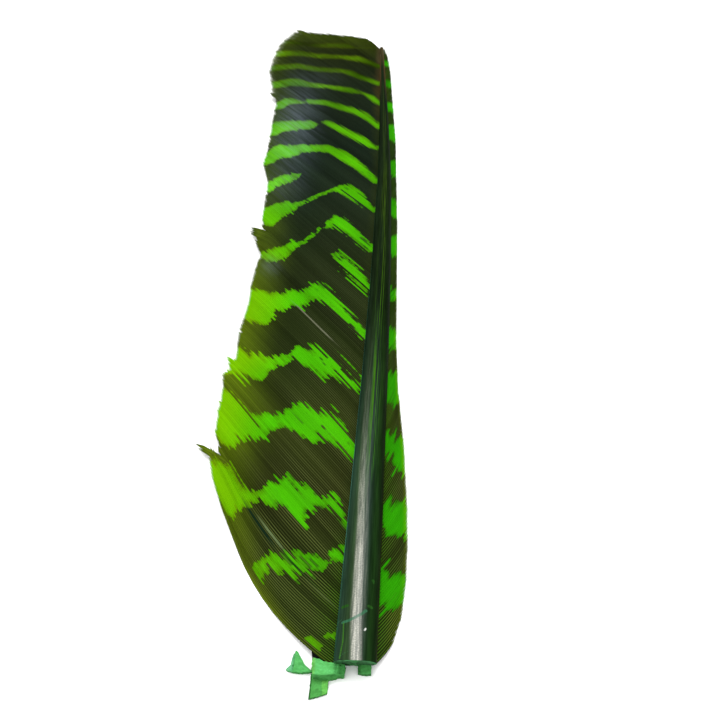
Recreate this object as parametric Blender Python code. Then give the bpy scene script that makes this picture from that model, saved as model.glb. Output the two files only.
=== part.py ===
"""A barred turkey wing feather, its quill cut off just below the vanes.

It lies on its back, so the side that faced down on the bird is up. The shaft
runs along +Y, its flat back on z = 0. The wide vane leaves the shaft towards
-X, droops to the surface and touches it, and the narrow vane leaves towards
+X. Shaft, vanes and the torn shreds of pith at the cut grew as one piece, so
they are one closed solid.

The solid is a sheet of cells. Its rows follow the barbs: each row runs in from
the tip of a barb of the wide vane, over the shaft, and out along a barb of the
narrow vane. Each point of the sheet has an upper and a lower corner, and a
split in a vane is a strip of cells left out.

All sizes are in millimetres, and all places are measured from the middle of
the cut end. The finished feather is set down with its middle on the origin.
"""

import math

import bmesh
import bpy
import numpy as np

MM = 0.001
# The middle of the feather seen from above: this place goes to the origin.
BOX_CENTRE = (-14.6, 123.3)

# The shaft: (distance from the cut, value) along its length.
SHAFT_LENGTH = 243.0
SHAFT_BOW = ((0, 0.0), (55, 1.3), (100, 2.15), (140, 2.5), (184, 2.1), (216, 1.05), (243, 0.0))
SHAFT_WIDTH = ((0, 8.4), (22, 7.9), (55, 7.0), (110, 5.65), (165, 4.1), (198, 2.9), (243, 1.3))
SHAFT_HEIGHT = ((0, 5.0), (55, 4.5), (110, 3.8), (165, 2.9), (198, 2.2), (243, 1.0))
WIDEST_AT = 0.5
BACK_FLAT = 0.6
DOME_ANGLES = (180, 150, 122, 100, 90, 80, 58, 30, 0)
GROOVE_DEPTH = ((0, 0.0), (38, 0.0), (60, 0.3), (165, 0.3), (226, 0.12), (243, 0.0))
# The cut leans: its top rim stands forward of y = 0 and its foot behind it.
CUT_TOP = -0.75
CUT_FOOT = 0.5

# Where the vanes leave the shaft, as shares of its half width and height.
ROOT_ABOVE = 0.92
ROOT_BELOW = 0.8
ROOT_HEIGHT = 0.27

# The barbs of the wide vane: their angle to the shaft at the root and at the
# edge, and the distance over which they turn from one to the other.
WIDE_ROOT_ANGLE = ((0, 52), (12, 51), (60, 43), (90, 41), (170, 37), (211, 34), (243, 30))
WIDE_EDGE_ANGLE = ((0, 27), (20, 32), (60, 36), (100, 38), (150, 44), (188, 48), (243, 52))
WIDE_TURN = ((0, 34), (12, 33), (60, 45), (243, 45))

# The narrow vane's barbs, in the same three ways.
NARROW_ROOT_ANGLE = ((0, 37), (12, 44), (30, 44), (80, 36), (243, 32))
NARROW_EDGE_ANGLE = ((0, 23), (30, 24), (80, 26), (243, 28))
NARROW_TURN = ((0, 5), (12, 8), (243, 9))

# The outlines that the barbs end at, from the cut to the tip.
WIDE_OUTLINE = (
    (0.0, -1.5), (-5.5, -1.5), (-14.0, 6.5), (-20.0, 15.0), (-25.0, 23.0), (-28.3, 30.5),
    (-30.6, 35.6), (-32.8, 41.5), (-34.4, 46.0), (-35.6, 51.0), (-35.4, 71.0), (-35.8, 76.0),
    (-35.2, 79.5), (-33.3, 83.4), (-34.1, 91.0), (-32.9, 104.0), (-32.6, 119.0),
    (-31.6, 125.2), (-34.0, 131.0), (-32.8, 139.0), (-33.4, 152.0), (-33.3, 160.5),
    (-36.1, 170.0), (-35.1, 179.0), (-35.3, 201.0), (-34.9, 205.5), (-36.7, 209.0),
    (-37.2, 214.0), (-39.3, 225.0), (-38.9, 234.0), (-37.5, 242.4), (-33.4, 251.6),
    (-31.4, 253.3), (-21.0, 253.2), (-13.0, 252.1), (-6.5, 250.2), (-1.9, 246.7),
    (0.5, 244.0), (5.0, 244.0), (5.0, -1.5),
)  # fmt: skip
NARROW_OUTLINE = (
    (0.0, -1.5), (4.4, -1.5), (7.4, 5.8), (9.0, 11.6), (9.9, 20.0), (10.2, 28.0), (10.1, 38.0),
    (9.2, 57.0), (7.7, 75.0), (7.1, 92.0), (6.9, 140.0), (5.9, 187.0), (3.6, 228.0),
    (2.4, 239.0), (1.0, 244.3), (0.0, 244.5),
)  # fmt: skip

# Splits in the wide vane's edge: the root of the barb above the split, where
# along it the split starts, how many degrees the barbs below it are bent
# outwards, how far they reach past the outline, and the stretch of their roots.
SPLITS = (
    (14.7, 45.5, 30.0, 2.6, 8.0),
    (37.6, 51.0, 10.0, 0.5, 5.0),
    (43.9, 48.5, 12.0, 1.5, 6.0),
    (98.3, 45.0, 34.0, 2.1, 9.0),
)
SPLIT_GAP = 0.25
CLEAR_OF_SPLIT = 0.7
BEND_RUN = 3.0
BEND_FADE = 1.5

# The vanes' thickness, and the locks that the barbs of each vane gather in.
ROOT_THICKNESS = 0.95
EDGE_THICKNESS = 0.4
LOCKS = 56
LOCK_RIDGE = 0.22
RIDGE_FADE = 0.6
LOCK_STEP = 0.7

# The fall of the vanes to the surface, and the rise of their edge and tip.
WIDE_DROOP = 24.0
EDGE_LIFT = 1.1
EDGE_LIFT_FROM = 34.0
EDGE_LIFT_RUN = 16.0
NARROW_FALL = 0.55
TIP_LIFT = 2.4
TIP_LIFT_FROM = 176.0

# Where the sheet's points lie along a barb, as shares of its length.
WIDE_SHARES = (0.0, 0.17, 0.33, 0.48, 0.61, 0.72, 0.82, 0.92, 1.0)
NARROW_SHARES = (0.0, 0.33, 0.67, 1.0)
PATH_STEP = 0.25
LONGEST_BARB = 62.0
SHORTEST_BARB = 1.2
LEAST_RISE = 0.05

# The torn shreds at the cut, each the hull of its corners.
SHREDS = {
    "tab": (
        (0.5, 2.0, 0.05), (3.1, 2.0, 0.05), (3.0, -1.5, 0.0), (0.6, -1.6, 0.0),
        (0.5, 2.0, 1.3), (3.1, 2.0, 1.3), (3.1, -1.4, 0.9), (0.7, -1.5, 1.1),
    ),
    "flap": (
        (-8.2, 1.7, 0.0), (-1.6, 2.2, 0.1), (-2.2, -2.4, 0.0), (-7.6, -3.4, 0.0),
        (-8.3, 1.6, 1.4), (-3.9, 0.9, 1.7), (-1.9, 1.2, 1.9), (-2.1, -1.9, 1.3),
        (-3.4, -2.6, 1.2), (-7.7, -2.9, 1.2),
    ),
    "strip": (
        (-8.4, -1.6, 0.0), (-5.3, -1.6, 0.0), (-5.0, -5.9, 0.0), (-8.6, -6.9, 0.0),
        (-8.2, -1.6, 1.0), (-5.4, -1.6, 1.0), (-5.1, -5.7, 0.5), (-8.5, -6.6, 0.6),
        (-6.6, -3.4, 1.1),
    ),
    "wedge": (
        (-11.9, 2.9, 0.0), (-13.6, -1.1, 0.0), (-11.2, -1.9, 0.0), (-9.6, -1.4, 0.0),
        (-11.6, 2.5, 0.7), (-13.3, -1.0, 0.5), (-11.3, -1.6, 1.3), (-9.8, -0.9, 0.8),
    ),
    "neck": (
        (-10.6, -0.6, 0.0), (-10.6, -1.7, 0.0), (-7.4, -1.8, 0.0), (-7.4, -0.7, 0.0),
        (-10.5, -0.7, 0.7), (-10.5, -1.6, 0.7), (-7.4, -1.7, 0.6), (-7.4, -0.8, 0.6),
    ),
    "skin": (
        (-8.8, 4.3, 0.0), (-5.4, 3.6, 0.0), (-4.6, 0.8, 0.0), (-8.3, 0.6, 0.0),
        (-8.7, 4.2, 0.45), (-5.4, 3.5, 0.45), (-4.6, 0.9, 0.6), (-8.2, 0.7, 0.6),
    ),
}  # fmt: skip

# Colours of the dyed feather: linear red, green, blue, and roughness.
LOOKS = {
    "dyed_vane": ((0.06, 0.30, 0.006), 0.6),
    "dark_shaft": ((0.008, 0.03, 0.016), 0.25),
    "mint_pith": ((0.10, 0.52, 0.16), 0.8),
}


def clear_scene():
    for thing in list(bpy.data.objects):
        bpy.data.objects.remove(thing, do_unlink=True)


def along(stations, where):
    """A smooth curve through (distance, value) stations, read at where.

    Each stretch is a cubic whose slope at a station is the mean of the two
    stretches that meet there."""
    at, value = np.array(stations, float).T
    slope = np.gradient(value, at) if len(at) > 2 else np.full(2, np.diff(value) / np.diff(at))
    where = np.clip(where, at[0], at[-1])
    i = np.clip(np.searchsorted(at, where) - 1, 0, len(at) - 2)
    run = at[i + 1] - at[i]
    u = (where - at[i]) / run
    start = value[i] + u * run * slope[i]
    end = value[i + 1] - (1 - u) * run * slope[i + 1]
    blend = u * u * (3 - 2 * u)
    return start * (1 - blend) + end * blend


def smooth_step(x):
    x = np.clip(x, 0.0, 1.0)
    return x * x * (3 - 2 * x)


def inside(points, outline):
    """Which points lie within a closed outline, by counting the sides to their right."""
    x, y = points[:, :1], points[:, 1:]
    start = np.array(outline, float)
    end = np.roll(start, -1, axis=0)
    crosses = (start[:, 1] > y) != (end[:, 1] > y)
    rise = np.where(start[:, 1] == end[:, 1], 1.0, end[:, 1] - start[:, 1])
    side_x = start[:, 0] + (y - start[:, 1]) / rise * (end[:, 0] - start[:, 0])
    return (crosses & (x < side_x)).sum(axis=1) % 2 == 1


def row_roots():
    """The places along the shaft where the rows start, with each row's share of a lock's ridge.

    A lock is two rows wide, low at its sides and high in its middle. A split adds
    a pair of rows a hair apart."""
    even = np.linspace(0.0, SHAFT_LENGTH, 2 * LOCKS + 1)
    ridge = np.arange(len(even)) % 2
    tops = np.array([split[0] for split in SPLITS])
    rows = [(s, r) for s, r in zip(even, ridge) if np.abs(s - tops).min() > CLEAR_OF_SPLIT]
    for root in tops:
        rows += [(root - SPLIT_GAP, 0), (root + SPLIT_GAP, 0)]
    return sorted(rows)


def bend_of(root, distance):
    """The extra angle of a barb below a split, and how much longer it is."""
    turn = np.zeros_like(distance)
    reach = 0.0
    for top, start, bend, extra, fan in SPLITS:
        share = 1 - (top - root) / fan
        if root < top and share > 0:
            turn += math.radians(bend) * share**BEND_FADE * smooth_step((distance - start) / BEND_RUN)
            reach = max(reach, extra * share)
    return turn, reach


def barb_path(root, side):
    """A barb's points from the shaft outwards, PATH_STEP apart, and how many are its own.

    The barb's angle to the shaft runs evenly from its root angle to its edge
    angle, and its points are the sum of the small steps at that angle."""
    distance = np.arange(0.0, LONGEST_BARB, PATH_STEP)
    wide = side < 0
    angles = (WIDE_ROOT_ANGLE, WIDE_EDGE_ANGLE) if wide else (NARROW_ROOT_ANGLE, NARROW_EDGE_ANGLE)
    first, last = (math.radians(float(along(angle, root))) for angle in angles)
    turned = np.clip(distance / along(WIDE_TURN if wide else NARROW_TURN, root), 0, 1)
    angle = first + (last - first) * turned
    start = np.array([shaft_x(root) + side * half_width(root) * ROOT_ABOVE, root])

    def run(angle):
        steps = np.stack([side * np.sin(angle), np.cos(angle)], axis=1) * PATH_STEP
        return start + np.vstack([[0.0, 0.0], np.cumsum(steps, axis=0)[:-1]])

    outline = WIDE_OUTLINE if wide else NARROW_OUTLINE
    out = np.flatnonzero(~inside(run(angle)[1:], outline))
    own = out[0] + 1 if len(out) else len(distance)
    reach = 0.0
    if wide:
        turn, reach = bend_of(root, distance)
        angle = angle + turn
    own = max(own + round(reach / PATH_STEP), round(SHORTEST_BARB / PATH_STEP))
    return run(angle), min(own, len(distance) - 1)


def shaft_x(y):
    return float(along(SHAFT_BOW, y))


def half_width(y):
    return float(along(SHAFT_WIDTH, y)) / 2


def sampled(points, places):
    """A path's points at the given places, counted in its own points from its start."""
    whole = np.arange(len(points))
    return np.stack([np.interp(places, whole, points[:, i]) for i in (0, 1)], axis=1)


def thickness(share, ridge):
    """A vane's thickness at a share of a barb's length, more on a lock's ridge than beside it."""
    plain = ROOT_THICKNESS + (EDGE_THICKNESS - ROOT_THICKNESS) * share
    return plain + (ridge - 0.5) * LOCK_RIDGE * (1 - RIDGE_FADE * share)


def wide_height(distance, root):
    """Height of the wide vane's underside: from the shaft down to the surface, and up at the edge."""
    at_root = ROOT_HEIGHT * along(SHAFT_HEIGHT, root) - ROOT_THICKNESS / 2
    fall = max(at_root, 0.0) * (1 - smooth_step(distance / WIDE_DROOP))
    return fall + EDGE_LIFT * smooth_step((distance - EDGE_LIFT_FROM) / EDGE_LIFT_RUN)


def wide_row(root, ridge):
    """Upper and lower points of the wide vane along one barb, from its tip to the shaft."""
    path, count = barb_path(root, -1)
    count -= round(LOCK_STEP * (1 - ridge) / PATH_STEP)
    share = np.array(WIDE_SHARES)[:0:-1]
    plan = sampled(path, count * share)
    below = wide_height(count * PATH_STEP * share, root)
    above = below + thickness(share, ridge)
    return np.column_stack([plan, above]), np.column_stack([plan, below])


def narrow_row(root, ridge):
    """Upper and lower points of the narrow vane along one barb, from the shaft to its tip."""
    path, count = barb_path(root, 1)
    share = np.array(NARROW_SHARES)[1:]
    plan = sampled(path, count * share)
    at_root = max(ROOT_HEIGHT * along(SHAFT_HEIGHT, root) - ROOT_THICKNESS / 2, 0.0)
    below = at_root * (1 - NARROW_FALL * share)
    above = below + thickness(share, ridge)
    return np.column_stack([plan, above]), np.column_stack([plan, below])


def shaft_row(root):
    """Upper and lower points across the shaft, from the wide vane's root to the narrow vane's.

    The upper side is half an ellipse above the widest level, dented by the groove
    in its middle. The back is flat."""
    middle, half = shaft_x(root), half_width(root)
    height = float(along(SHAFT_HEIGHT, root))
    angle = np.radians(DOME_ANGLES)
    x = half * np.cos(angle)
    z = height * (WIDEST_AT + (1 - WIDEST_AT) * np.sin(angle))
    z[len(z) // 2] -= along(GROOVE_DEPTH, root)
    join = ROOT_HEIGHT * height
    x = np.concatenate([[-ROOT_ABOVE * half], x, [ROOT_ABOVE * half]])
    top_join = join + ROOT_THICKNESS / 2
    z = np.concatenate([[top_join], np.maximum(z, top_join + LEAST_RISE), [top_join]])
    back = np.linspace(-1, 1, len(x)) * BACK_FLAT * half
    back[[0, -1]] = [-ROOT_BELOW * half, ROOT_BELOW * half]
    low = np.zeros(len(x))
    low[[0, -1]] = max(join - ROOT_THICKNESS / 2, 0.0)
    y_above, y_below = np.full(len(x), root), np.full(len(x), root)
    if root == 0:
        lean = (CUT_TOP - CUT_FOOT) / height
        y_above, y_below = CUT_FOOT + lean * z, CUT_FOOT + lean * low
    return np.column_stack([x + middle, y_above, z]), np.column_stack([back + middle, y_below, low])


def lifted(points):
    """The same points with the feather's tip curved up off the surface."""
    rise = (points[:, 1] - TIP_LIFT_FROM) / (SHAFT_LENGTH - TIP_LIFT_FROM)
    points[:, 2] += TIP_LIFT * np.clip(rise, 0, None) ** 2
    return points


def sheet():
    """Upper and lower corners of the sheet, row by row, and the cells that are filled."""
    above, below = [], []
    rows = row_roots()
    for root, ridge in rows:
        parts = [wide_row(root, ridge), shaft_row(root), narrow_row(root, ridge)]
        above.append(lifted(np.vstack([part[0] for part in parts])))
        below.append(lifted(np.vstack([part[1] for part in parts])))
    filled = np.ones((len(rows) - 1, len(above[0]) - 1), bool)
    roots = np.array([root for root, _ in rows])
    for top, start, *_ in SPLITS:
        row = int(np.searchsorted(roots, top)) - 1
        _, count = barb_path(roots[row + 1], -1)
        nearest = np.abs(np.array(WIDE_SHARES) - start / (count * PATH_STEP)).argmin()
        open_cells = max(1, len(WIDE_SHARES) - 1 - nearest)
        filled[row, :open_cells] = False
    return np.array(above), np.array(below), filled


def material(name):
    colour, roughness = LOOKS[name]
    made = bpy.data.materials.new(name)
    made.use_nodes = True
    shader = made.node_tree.nodes["Principled BSDF"]
    shader.inputs["Base Color"].default_value = (*colour, 1.0)
    shader.inputs["Roughness"].default_value = roughness
    made.diffuse_color = (*colour, 1.0)
    return made


def link(mesh, name, looks):
    for look in looks:
        mesh.materials.append(bpy.data.materials.get(look) or material(look))
    thing = bpy.data.objects.new(name, mesh)
    bpy.context.scene.collection.objects.link(thing)
    return thing


def placed(point):
    """A point in metres, with the origin below the middle of the feather."""
    return ((point[0] - BOX_CENTRE[0]) * MM, (point[1] - BOX_CENTRE[1]) * MM, point[2] * MM)


def feather_mesh():
    """The closed skin of the sheet: its upper side, its lower side, and a wall along every open edge."""
    above, below, filled = sheet()
    body = bmesh.new()
    up = [[body.verts.new(placed(point)) for point in row] for row in above]
    down = [[body.verts.new(placed(point)) for point in row] for row in below]
    rows, columns = filled.shape
    full = np.pad(filled, 1)
    shaft = range(len(WIDE_SHARES) - 1, len(WIDE_SHARES) + len(DOME_ANGLES))

    def face(corners, column):
        body.faces.new(corners).material_index = int(column in shaft)

    for i in range(rows):
        for j in range(columns):
            if not filled[i, j]:
                continue
            ring = ((i, j), (i, j + 1), (i + 1, j + 1), (i + 1, j))
            face([up[a][b] for a, b in ring], j)
            face([down[a][b] for a, b in reversed(ring)], j)
            beyond = (full[i, j + 1], full[i + 1, j + 2], full[i + 2, j + 1], full[i + 1, j])
            for side, has_neighbour in enumerate(beyond):
                if not has_neighbour:
                    (a, b), (c, d) = ring[side], ring[(side + 1) % 4]
                    face([up[a][b], down[a][b], down[c][d], up[c][d]], j)
    loose = [vert for vert in body.verts if not vert.link_faces]
    bmesh.ops.delete(body, geom=loose, context="VERTS")
    bmesh.ops.triangulate(body, faces=body.faces)
    bmesh.ops.recalc_face_normals(body, faces=body.faces)
    mesh = bpy.data.meshes.new("feather")
    body.to_mesh(mesh)
    body.free()
    return mesh


def shred(name, corners):
    """A torn piece of pith as a hull, ready to be joined to the feather."""
    body = bmesh.new()
    verts = [body.verts.new(placed(corner)) for corner in corners]
    bmesh.ops.convex_hull(body, input=verts)
    loose = [vert for vert in body.verts if not vert.link_faces]
    bmesh.ops.delete(body, geom=loose, context="VERTS")
    bmesh.ops.recalc_face_normals(body, faces=body.faces)
    mesh = bpy.data.meshes.new(name)
    body.to_mesh(mesh)
    body.free()
    thing = link(mesh, name, ["mint_pith"])
    thing.hide_render = True
    thing.display_type = "WIRE"
    return thing


def main():
    clear_scene()
    feather = link(feather_mesh(), "feather", ["dyed_vane", "dark_shaft", "mint_pith"])
    for name, corners in SHREDS.items():
        join = feather.modifiers.new(name, "BOOLEAN")
        join.operation = "UNION"
        join.solver = "EXACT"
        join.object = shred(name, corners)


main()
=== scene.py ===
"""The looks of a barred, dyed turkey wing feather that lies on a pale floor.

All sizes are in millimetres, and all places are measured from the middle of
the cut end: +Y along the shaft to the tip, +X towards the narrow vane and +Z
up. placed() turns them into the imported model's metres.
"""

import logging
import math
from collections.abc import Iterable
from dataclasses import dataclass
from enum import Enum

import bmesh
import bpy
import numpy as np
from numpy.typing import NDArray
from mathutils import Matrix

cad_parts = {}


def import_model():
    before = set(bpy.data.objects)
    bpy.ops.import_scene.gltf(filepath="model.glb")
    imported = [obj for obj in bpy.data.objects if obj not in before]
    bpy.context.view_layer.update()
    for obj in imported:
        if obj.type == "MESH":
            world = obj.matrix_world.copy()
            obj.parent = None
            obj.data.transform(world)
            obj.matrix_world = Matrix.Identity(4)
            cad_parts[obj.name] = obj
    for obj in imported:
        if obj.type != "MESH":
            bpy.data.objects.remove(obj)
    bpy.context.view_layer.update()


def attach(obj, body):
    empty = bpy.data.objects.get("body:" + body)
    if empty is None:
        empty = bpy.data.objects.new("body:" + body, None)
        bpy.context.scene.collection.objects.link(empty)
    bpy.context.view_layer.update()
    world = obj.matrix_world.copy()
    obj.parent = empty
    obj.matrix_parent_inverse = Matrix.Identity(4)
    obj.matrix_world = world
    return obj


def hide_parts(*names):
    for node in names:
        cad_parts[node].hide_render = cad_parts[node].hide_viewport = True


Floats = NDArray[np.float64]
Faces = list[NDArray[np.int64]]
Point = tuple[float, float]
Triple = tuple[float, float, float]
Colour = Triple
# A table of values, or of colours, by distance.
Stations = tuple[Point, ...]
Tints = tuple[tuple[float, Colour], ...]
# Cloudy noise on two measures of a piece: how fine it is along each, its place and its detail.
Grain = tuple[float, float, float, float]

MM = 0.001
# The middle of the feather seen from above, which lies over the model's origin.
BOX_CENTRE = (-14.6, 123.3)
# The tints are written for light of strength 1, and the room is a little brighter.
DYE_DEPTH = 0.69
# A distance that counts as far outside any mark.
NOT_MARKED = 5.0
# A depth that counts as far outside any bright bar.
NOT_BARRED = -50.0

log = logging.getLogger("feather")


class Side(Enum):
    """The two sides of the shaft, as the sign of X."""

    WIDE = -1
    NARROW = 1


class Slot(Enum):
    """The record's material slots."""

    VANE = "vane"
    SHAFT = "shaft"
    PITH = "pith"


# ---------------------------------------------------------------- curves


def smooth_step(x: Floats) -> Floats:
    """The curve 3x^2 - 2x^3, held at 0 below 0 and at 1 above 1."""
    x = np.clip(x, 0.0, 1.0)
    return x * x * (3 - 2 * x)


def ramp(x: Floats, start: float | Floats, run: float | Floats) -> Floats:
    """A smooth rise from 0 at start to 1 a run further on."""
    return smooth_step((x - start) / run)


def fade(x: Floats, start: float | Floats, run: float | Floats) -> Floats:
    """A smooth fall from 1 at start to 0 a run further on."""
    return 1 - ramp(x, start, run)


def bell(x: Floats, middle: float | Floats, half: float | Floats) -> Floats:
    """A bell curve that is 1 in the middle, and down to 0.37 half a width away."""
    return np.exp(-(((x - middle) / half) ** 2))


def along(stations: Stations, where: Floats) -> Floats:
    """A smooth curve through stations.

    Each stretch is a cubic whose slope at a station is the mean of the two
    stretches that meet there.

    Args:
        stations: (distance, value) pairs in order.
        where: the distances to read it at.

    Returns:
        The values at those distances, held beyond the ends.
    """
    at, value = np.array(stations, float).T
    slope = np.gradient(value, at)
    where = np.clip(where, at[0], at[-1])
    i = np.clip(np.searchsorted(at, where) - 1, 0, len(at) - 2)
    run = at[i + 1] - at[i]
    u = (where - at[i]) / run
    start = value[i] + u * run * slope[i]
    end = value[i + 1] - (1 - u) * run * slope[i + 1]
    blend = smooth_step(u)
    return start * (1 - blend) + end * blend


def straight(stations: Stations, where: Floats) -> Floats:
    """Straight lines through (distance, value) stations, read at where."""
    at, value = np.array(stations, float).T
    return np.interp(where, at, value)


def tinted(tints: Tints, where: Floats) -> Floats:
    """A colour that runs evenly from each (distance, colour) pair to the next, read at where."""
    at, colours = zip(*tints)
    return np.stack([np.interp(where, at, channel) for channel in zip(*colours)], axis=-1)


def mixed(first: Floats, second: Floats | Colour, share: Floats) -> Floats:
    """Two colours mixed: first where share is 0, second where it is 1."""
    return first + (np.asarray(second) - first) * share[..., None]


def wavy(rng: np.random.Generator, count: int, width: float) -> Floats:
    """Random numbers that change over about width places, with a spread of 1.

    Plain random numbers are blurred by a bell curve of that width, and scaled
    back to the same spread.

    Args:
        rng: the random draws.
        count: how many places there are.
        width: over how many of them the numbers change.

    Returns:
        A number for each place.
    """
    reach = np.arange(-math.ceil(3 * width), math.ceil(3 * width) + 1)
    blur = np.exp(-0.5 * (reach / width) ** 2)
    plain = rng.normal(size=count + len(reach) - 1)
    return np.convolve(plain, blur, "valid") / math.sqrt((blur**2).sum())


def inside(points: Floats, outline: Stations) -> NDArray[np.bool_]:
    """Which points lie within a closed outline, by counting the sides to their right."""
    x, y = points[:, :1], points[:, 1:]
    start = np.array(outline, float)
    end = np.roll(start, -1, axis=0)
    crosses = (start[:, 1] > y) != (end[:, 1] > y)
    rise = np.where(start[:, 1] == end[:, 1], 1.0, end[:, 1] - start[:, 1])
    side_x = start[:, 0] + (y - start[:, 1]) / rise * (end[:, 0] - start[:, 0])
    return (crosses & (x < side_x)).sum(axis=1) % 2 == 1


def off_edge(points: Floats, outline: Stations) -> Floats:
    """How far points are from the nearest place of a line of straight stretches."""
    corners = np.array(outline)
    start, run = corners[:-1], np.diff(corners, axis=0)
    offset = points[..., None, :] - start
    share = np.clip((offset * run).sum(axis=-1) / (run**2).sum(axis=-1), 0, 1)
    return np.linalg.norm(offset - share[..., None] * run, axis=-1).min(axis=-1)


# ---------------------------------------------------------------- meshes


def placed(points: Floats) -> Floats:
    """Points in millimetres from the cut's middle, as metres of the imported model."""
    return (points - np.array([*BOX_CENTRE, 0.0])) * MM


def tube_faces(tubes: int, rings: int, around: int) -> Faces:
    """The faces of closed tubes whose points are numbered tube by tube, ring by ring.

    Args:
        tubes: how many tubes there are.
        rings: how many rings each has.
        around: how many points a ring has.

    Returns:
        The four-sided faces of the walls, and the caps of the two ends.
    """
    index = np.arange(tubes * rings * around).reshape(tubes, rings, around)
    low, high = index[:, :-1], index[:, 1:]
    walls = np.stack([low, np.roll(low, -1, axis=2), np.roll(high, -1, axis=2), high], axis=-1)
    caps = np.concatenate([index[:, 0, ::-1], index[:, -1]])
    return [walls.reshape(-1, 4), caps]


def new_piece(
    name: str,
    points: Floats,
    faces: Faces,
    layers: dict[str, Floats],
    finish: bpy.types.Material,
    crease: float,
) -> bpy.types.Object:
    """Put a surface into the scene.

    Args:
        name: the piece's name.
        points: its points in millimetres, of any array shape that ends in 3.
        faces: arrays of faces, one row of point numbers a face.
        layers: values for each point by name, one number or one colour a point.
        finish: its material.
        crease: edges that bend by more than this many degrees stay sharp.

    Returns:
        The new object.
    """
    mesh = bpy.data.meshes.new(name)
    points = placed(points.reshape(-1, 3))
    mesh.vertices.add(len(points))
    mesh.vertices.foreach_set("co", points.ravel())
    sizes = np.concatenate([np.full(len(part), part.shape[1]) for part in faces])
    corners = np.concatenate([part.ravel() for part in faces])
    mesh.loops.add(len(corners))
    mesh.loops.foreach_set("vertex_index", corners)
    mesh.polygons.add(len(sizes))
    mesh.polygons.foreach_set("loop_start", np.cumsum(sizes) - sizes)
    mesh.update(calc_edges=True)
    for layer, values in layers.items():
        is_colour = values.shape[-1] == 3 and values.size == len(points) * 3
        kind, field = ("FLOAT_COLOR", "color") if is_colour else ("FLOAT", "value")
        values = values.reshape(len(points), -1)
        if is_colour:
            values = np.column_stack([values, np.ones(len(points))])
        mesh.attributes.new(layer, kind, "POINT").data.foreach_set(field, values.ravel())
    body = bmesh.new()
    body.from_mesh(mesh)
    bmesh.ops.recalc_face_normals(body, faces=body.faces)
    body.to_mesh(mesh)
    body.free()
    mesh.shade_smooth()
    mesh.set_sharp_from_angle(angle=math.radians(crease))
    mesh.materials.append(finish)
    piece = bpy.data.objects.new(name, mesh)
    bpy.context.scene.collection.objects.link(piece)
    return piece


def put_in_place(piece: bpy.types.Object) -> None:
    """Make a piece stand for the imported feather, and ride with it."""
    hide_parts("feather")
    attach(piece, "root")
    log.info("%s: %d faces", piece.name, len(piece.data.polygons))


# ---------------------------------------------------------------- finishes


class Value:
    """A number or a colour that a material's nodes work out. Numbers take part in arithmetic."""

    def __init__(self, tree: bpy.types.NodeTree, socket: bpy.types.NodeSocket) -> None:
        """Keep the socket that gives the value, and the tree that it is in."""
        self.tree = tree
        self.socket = socket

    def step(self, operation: str, *others: "Value | float") -> "Value":
        """One of Blender's sums, such as ADD, of this number and others."""
        node = self.tree.nodes.new("ShaderNodeMath")
        node.operation = operation
        lead_in((self, *others), node.inputs)
        return Value(self.tree, node.outputs[0])

    def __add__(self, other: "Value | float") -> "Value":
        """This number and another together."""
        return self.step("ADD", other)

    def __mul__(self, other: "Value | float") -> "Value":
        """This number times another."""
        return self.step("MULTIPLY", other)

    def __sub__(self, other: float) -> "Value":
        """This number less a plain one."""
        return self.step("SUBTRACT", other)

    def __rsub__(self, other: float) -> "Value":
        """A plain number less this one."""
        return self * -1.0 + other

    def __abs__(self) -> "Value":
        """This number without its sign."""
        return self.step("ABSOLUTE")

    def rise(self, low: "Value | float", high: "Value | float") -> "Value":
        """A smooth rise from 0 to 1 while this number goes from low to high."""
        node = self.tree.nodes.new("ShaderNodeMapRange")
        node.interpolation_type = "SMOOTHSTEP"
        lead_in((self, low, high), node.inputs)
        return Value(self.tree, node.outputs[0])


Source = Value | float | Colour


def lead_in(sources: Iterable[Source], targets: Iterable[bpy.types.NodeSocket]) -> None:
    """Lead each value, or set each plain number or colour, into the target socket beside it."""
    for source, target in zip(sources, targets):
        if isinstance(source, Value):
            source.tree.links.new(source.socket, target)
        elif isinstance(source, tuple) and target.type == "RGBA":
            target.default_value = (*source, 1.0)
        else:
            target.default_value = source


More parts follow.
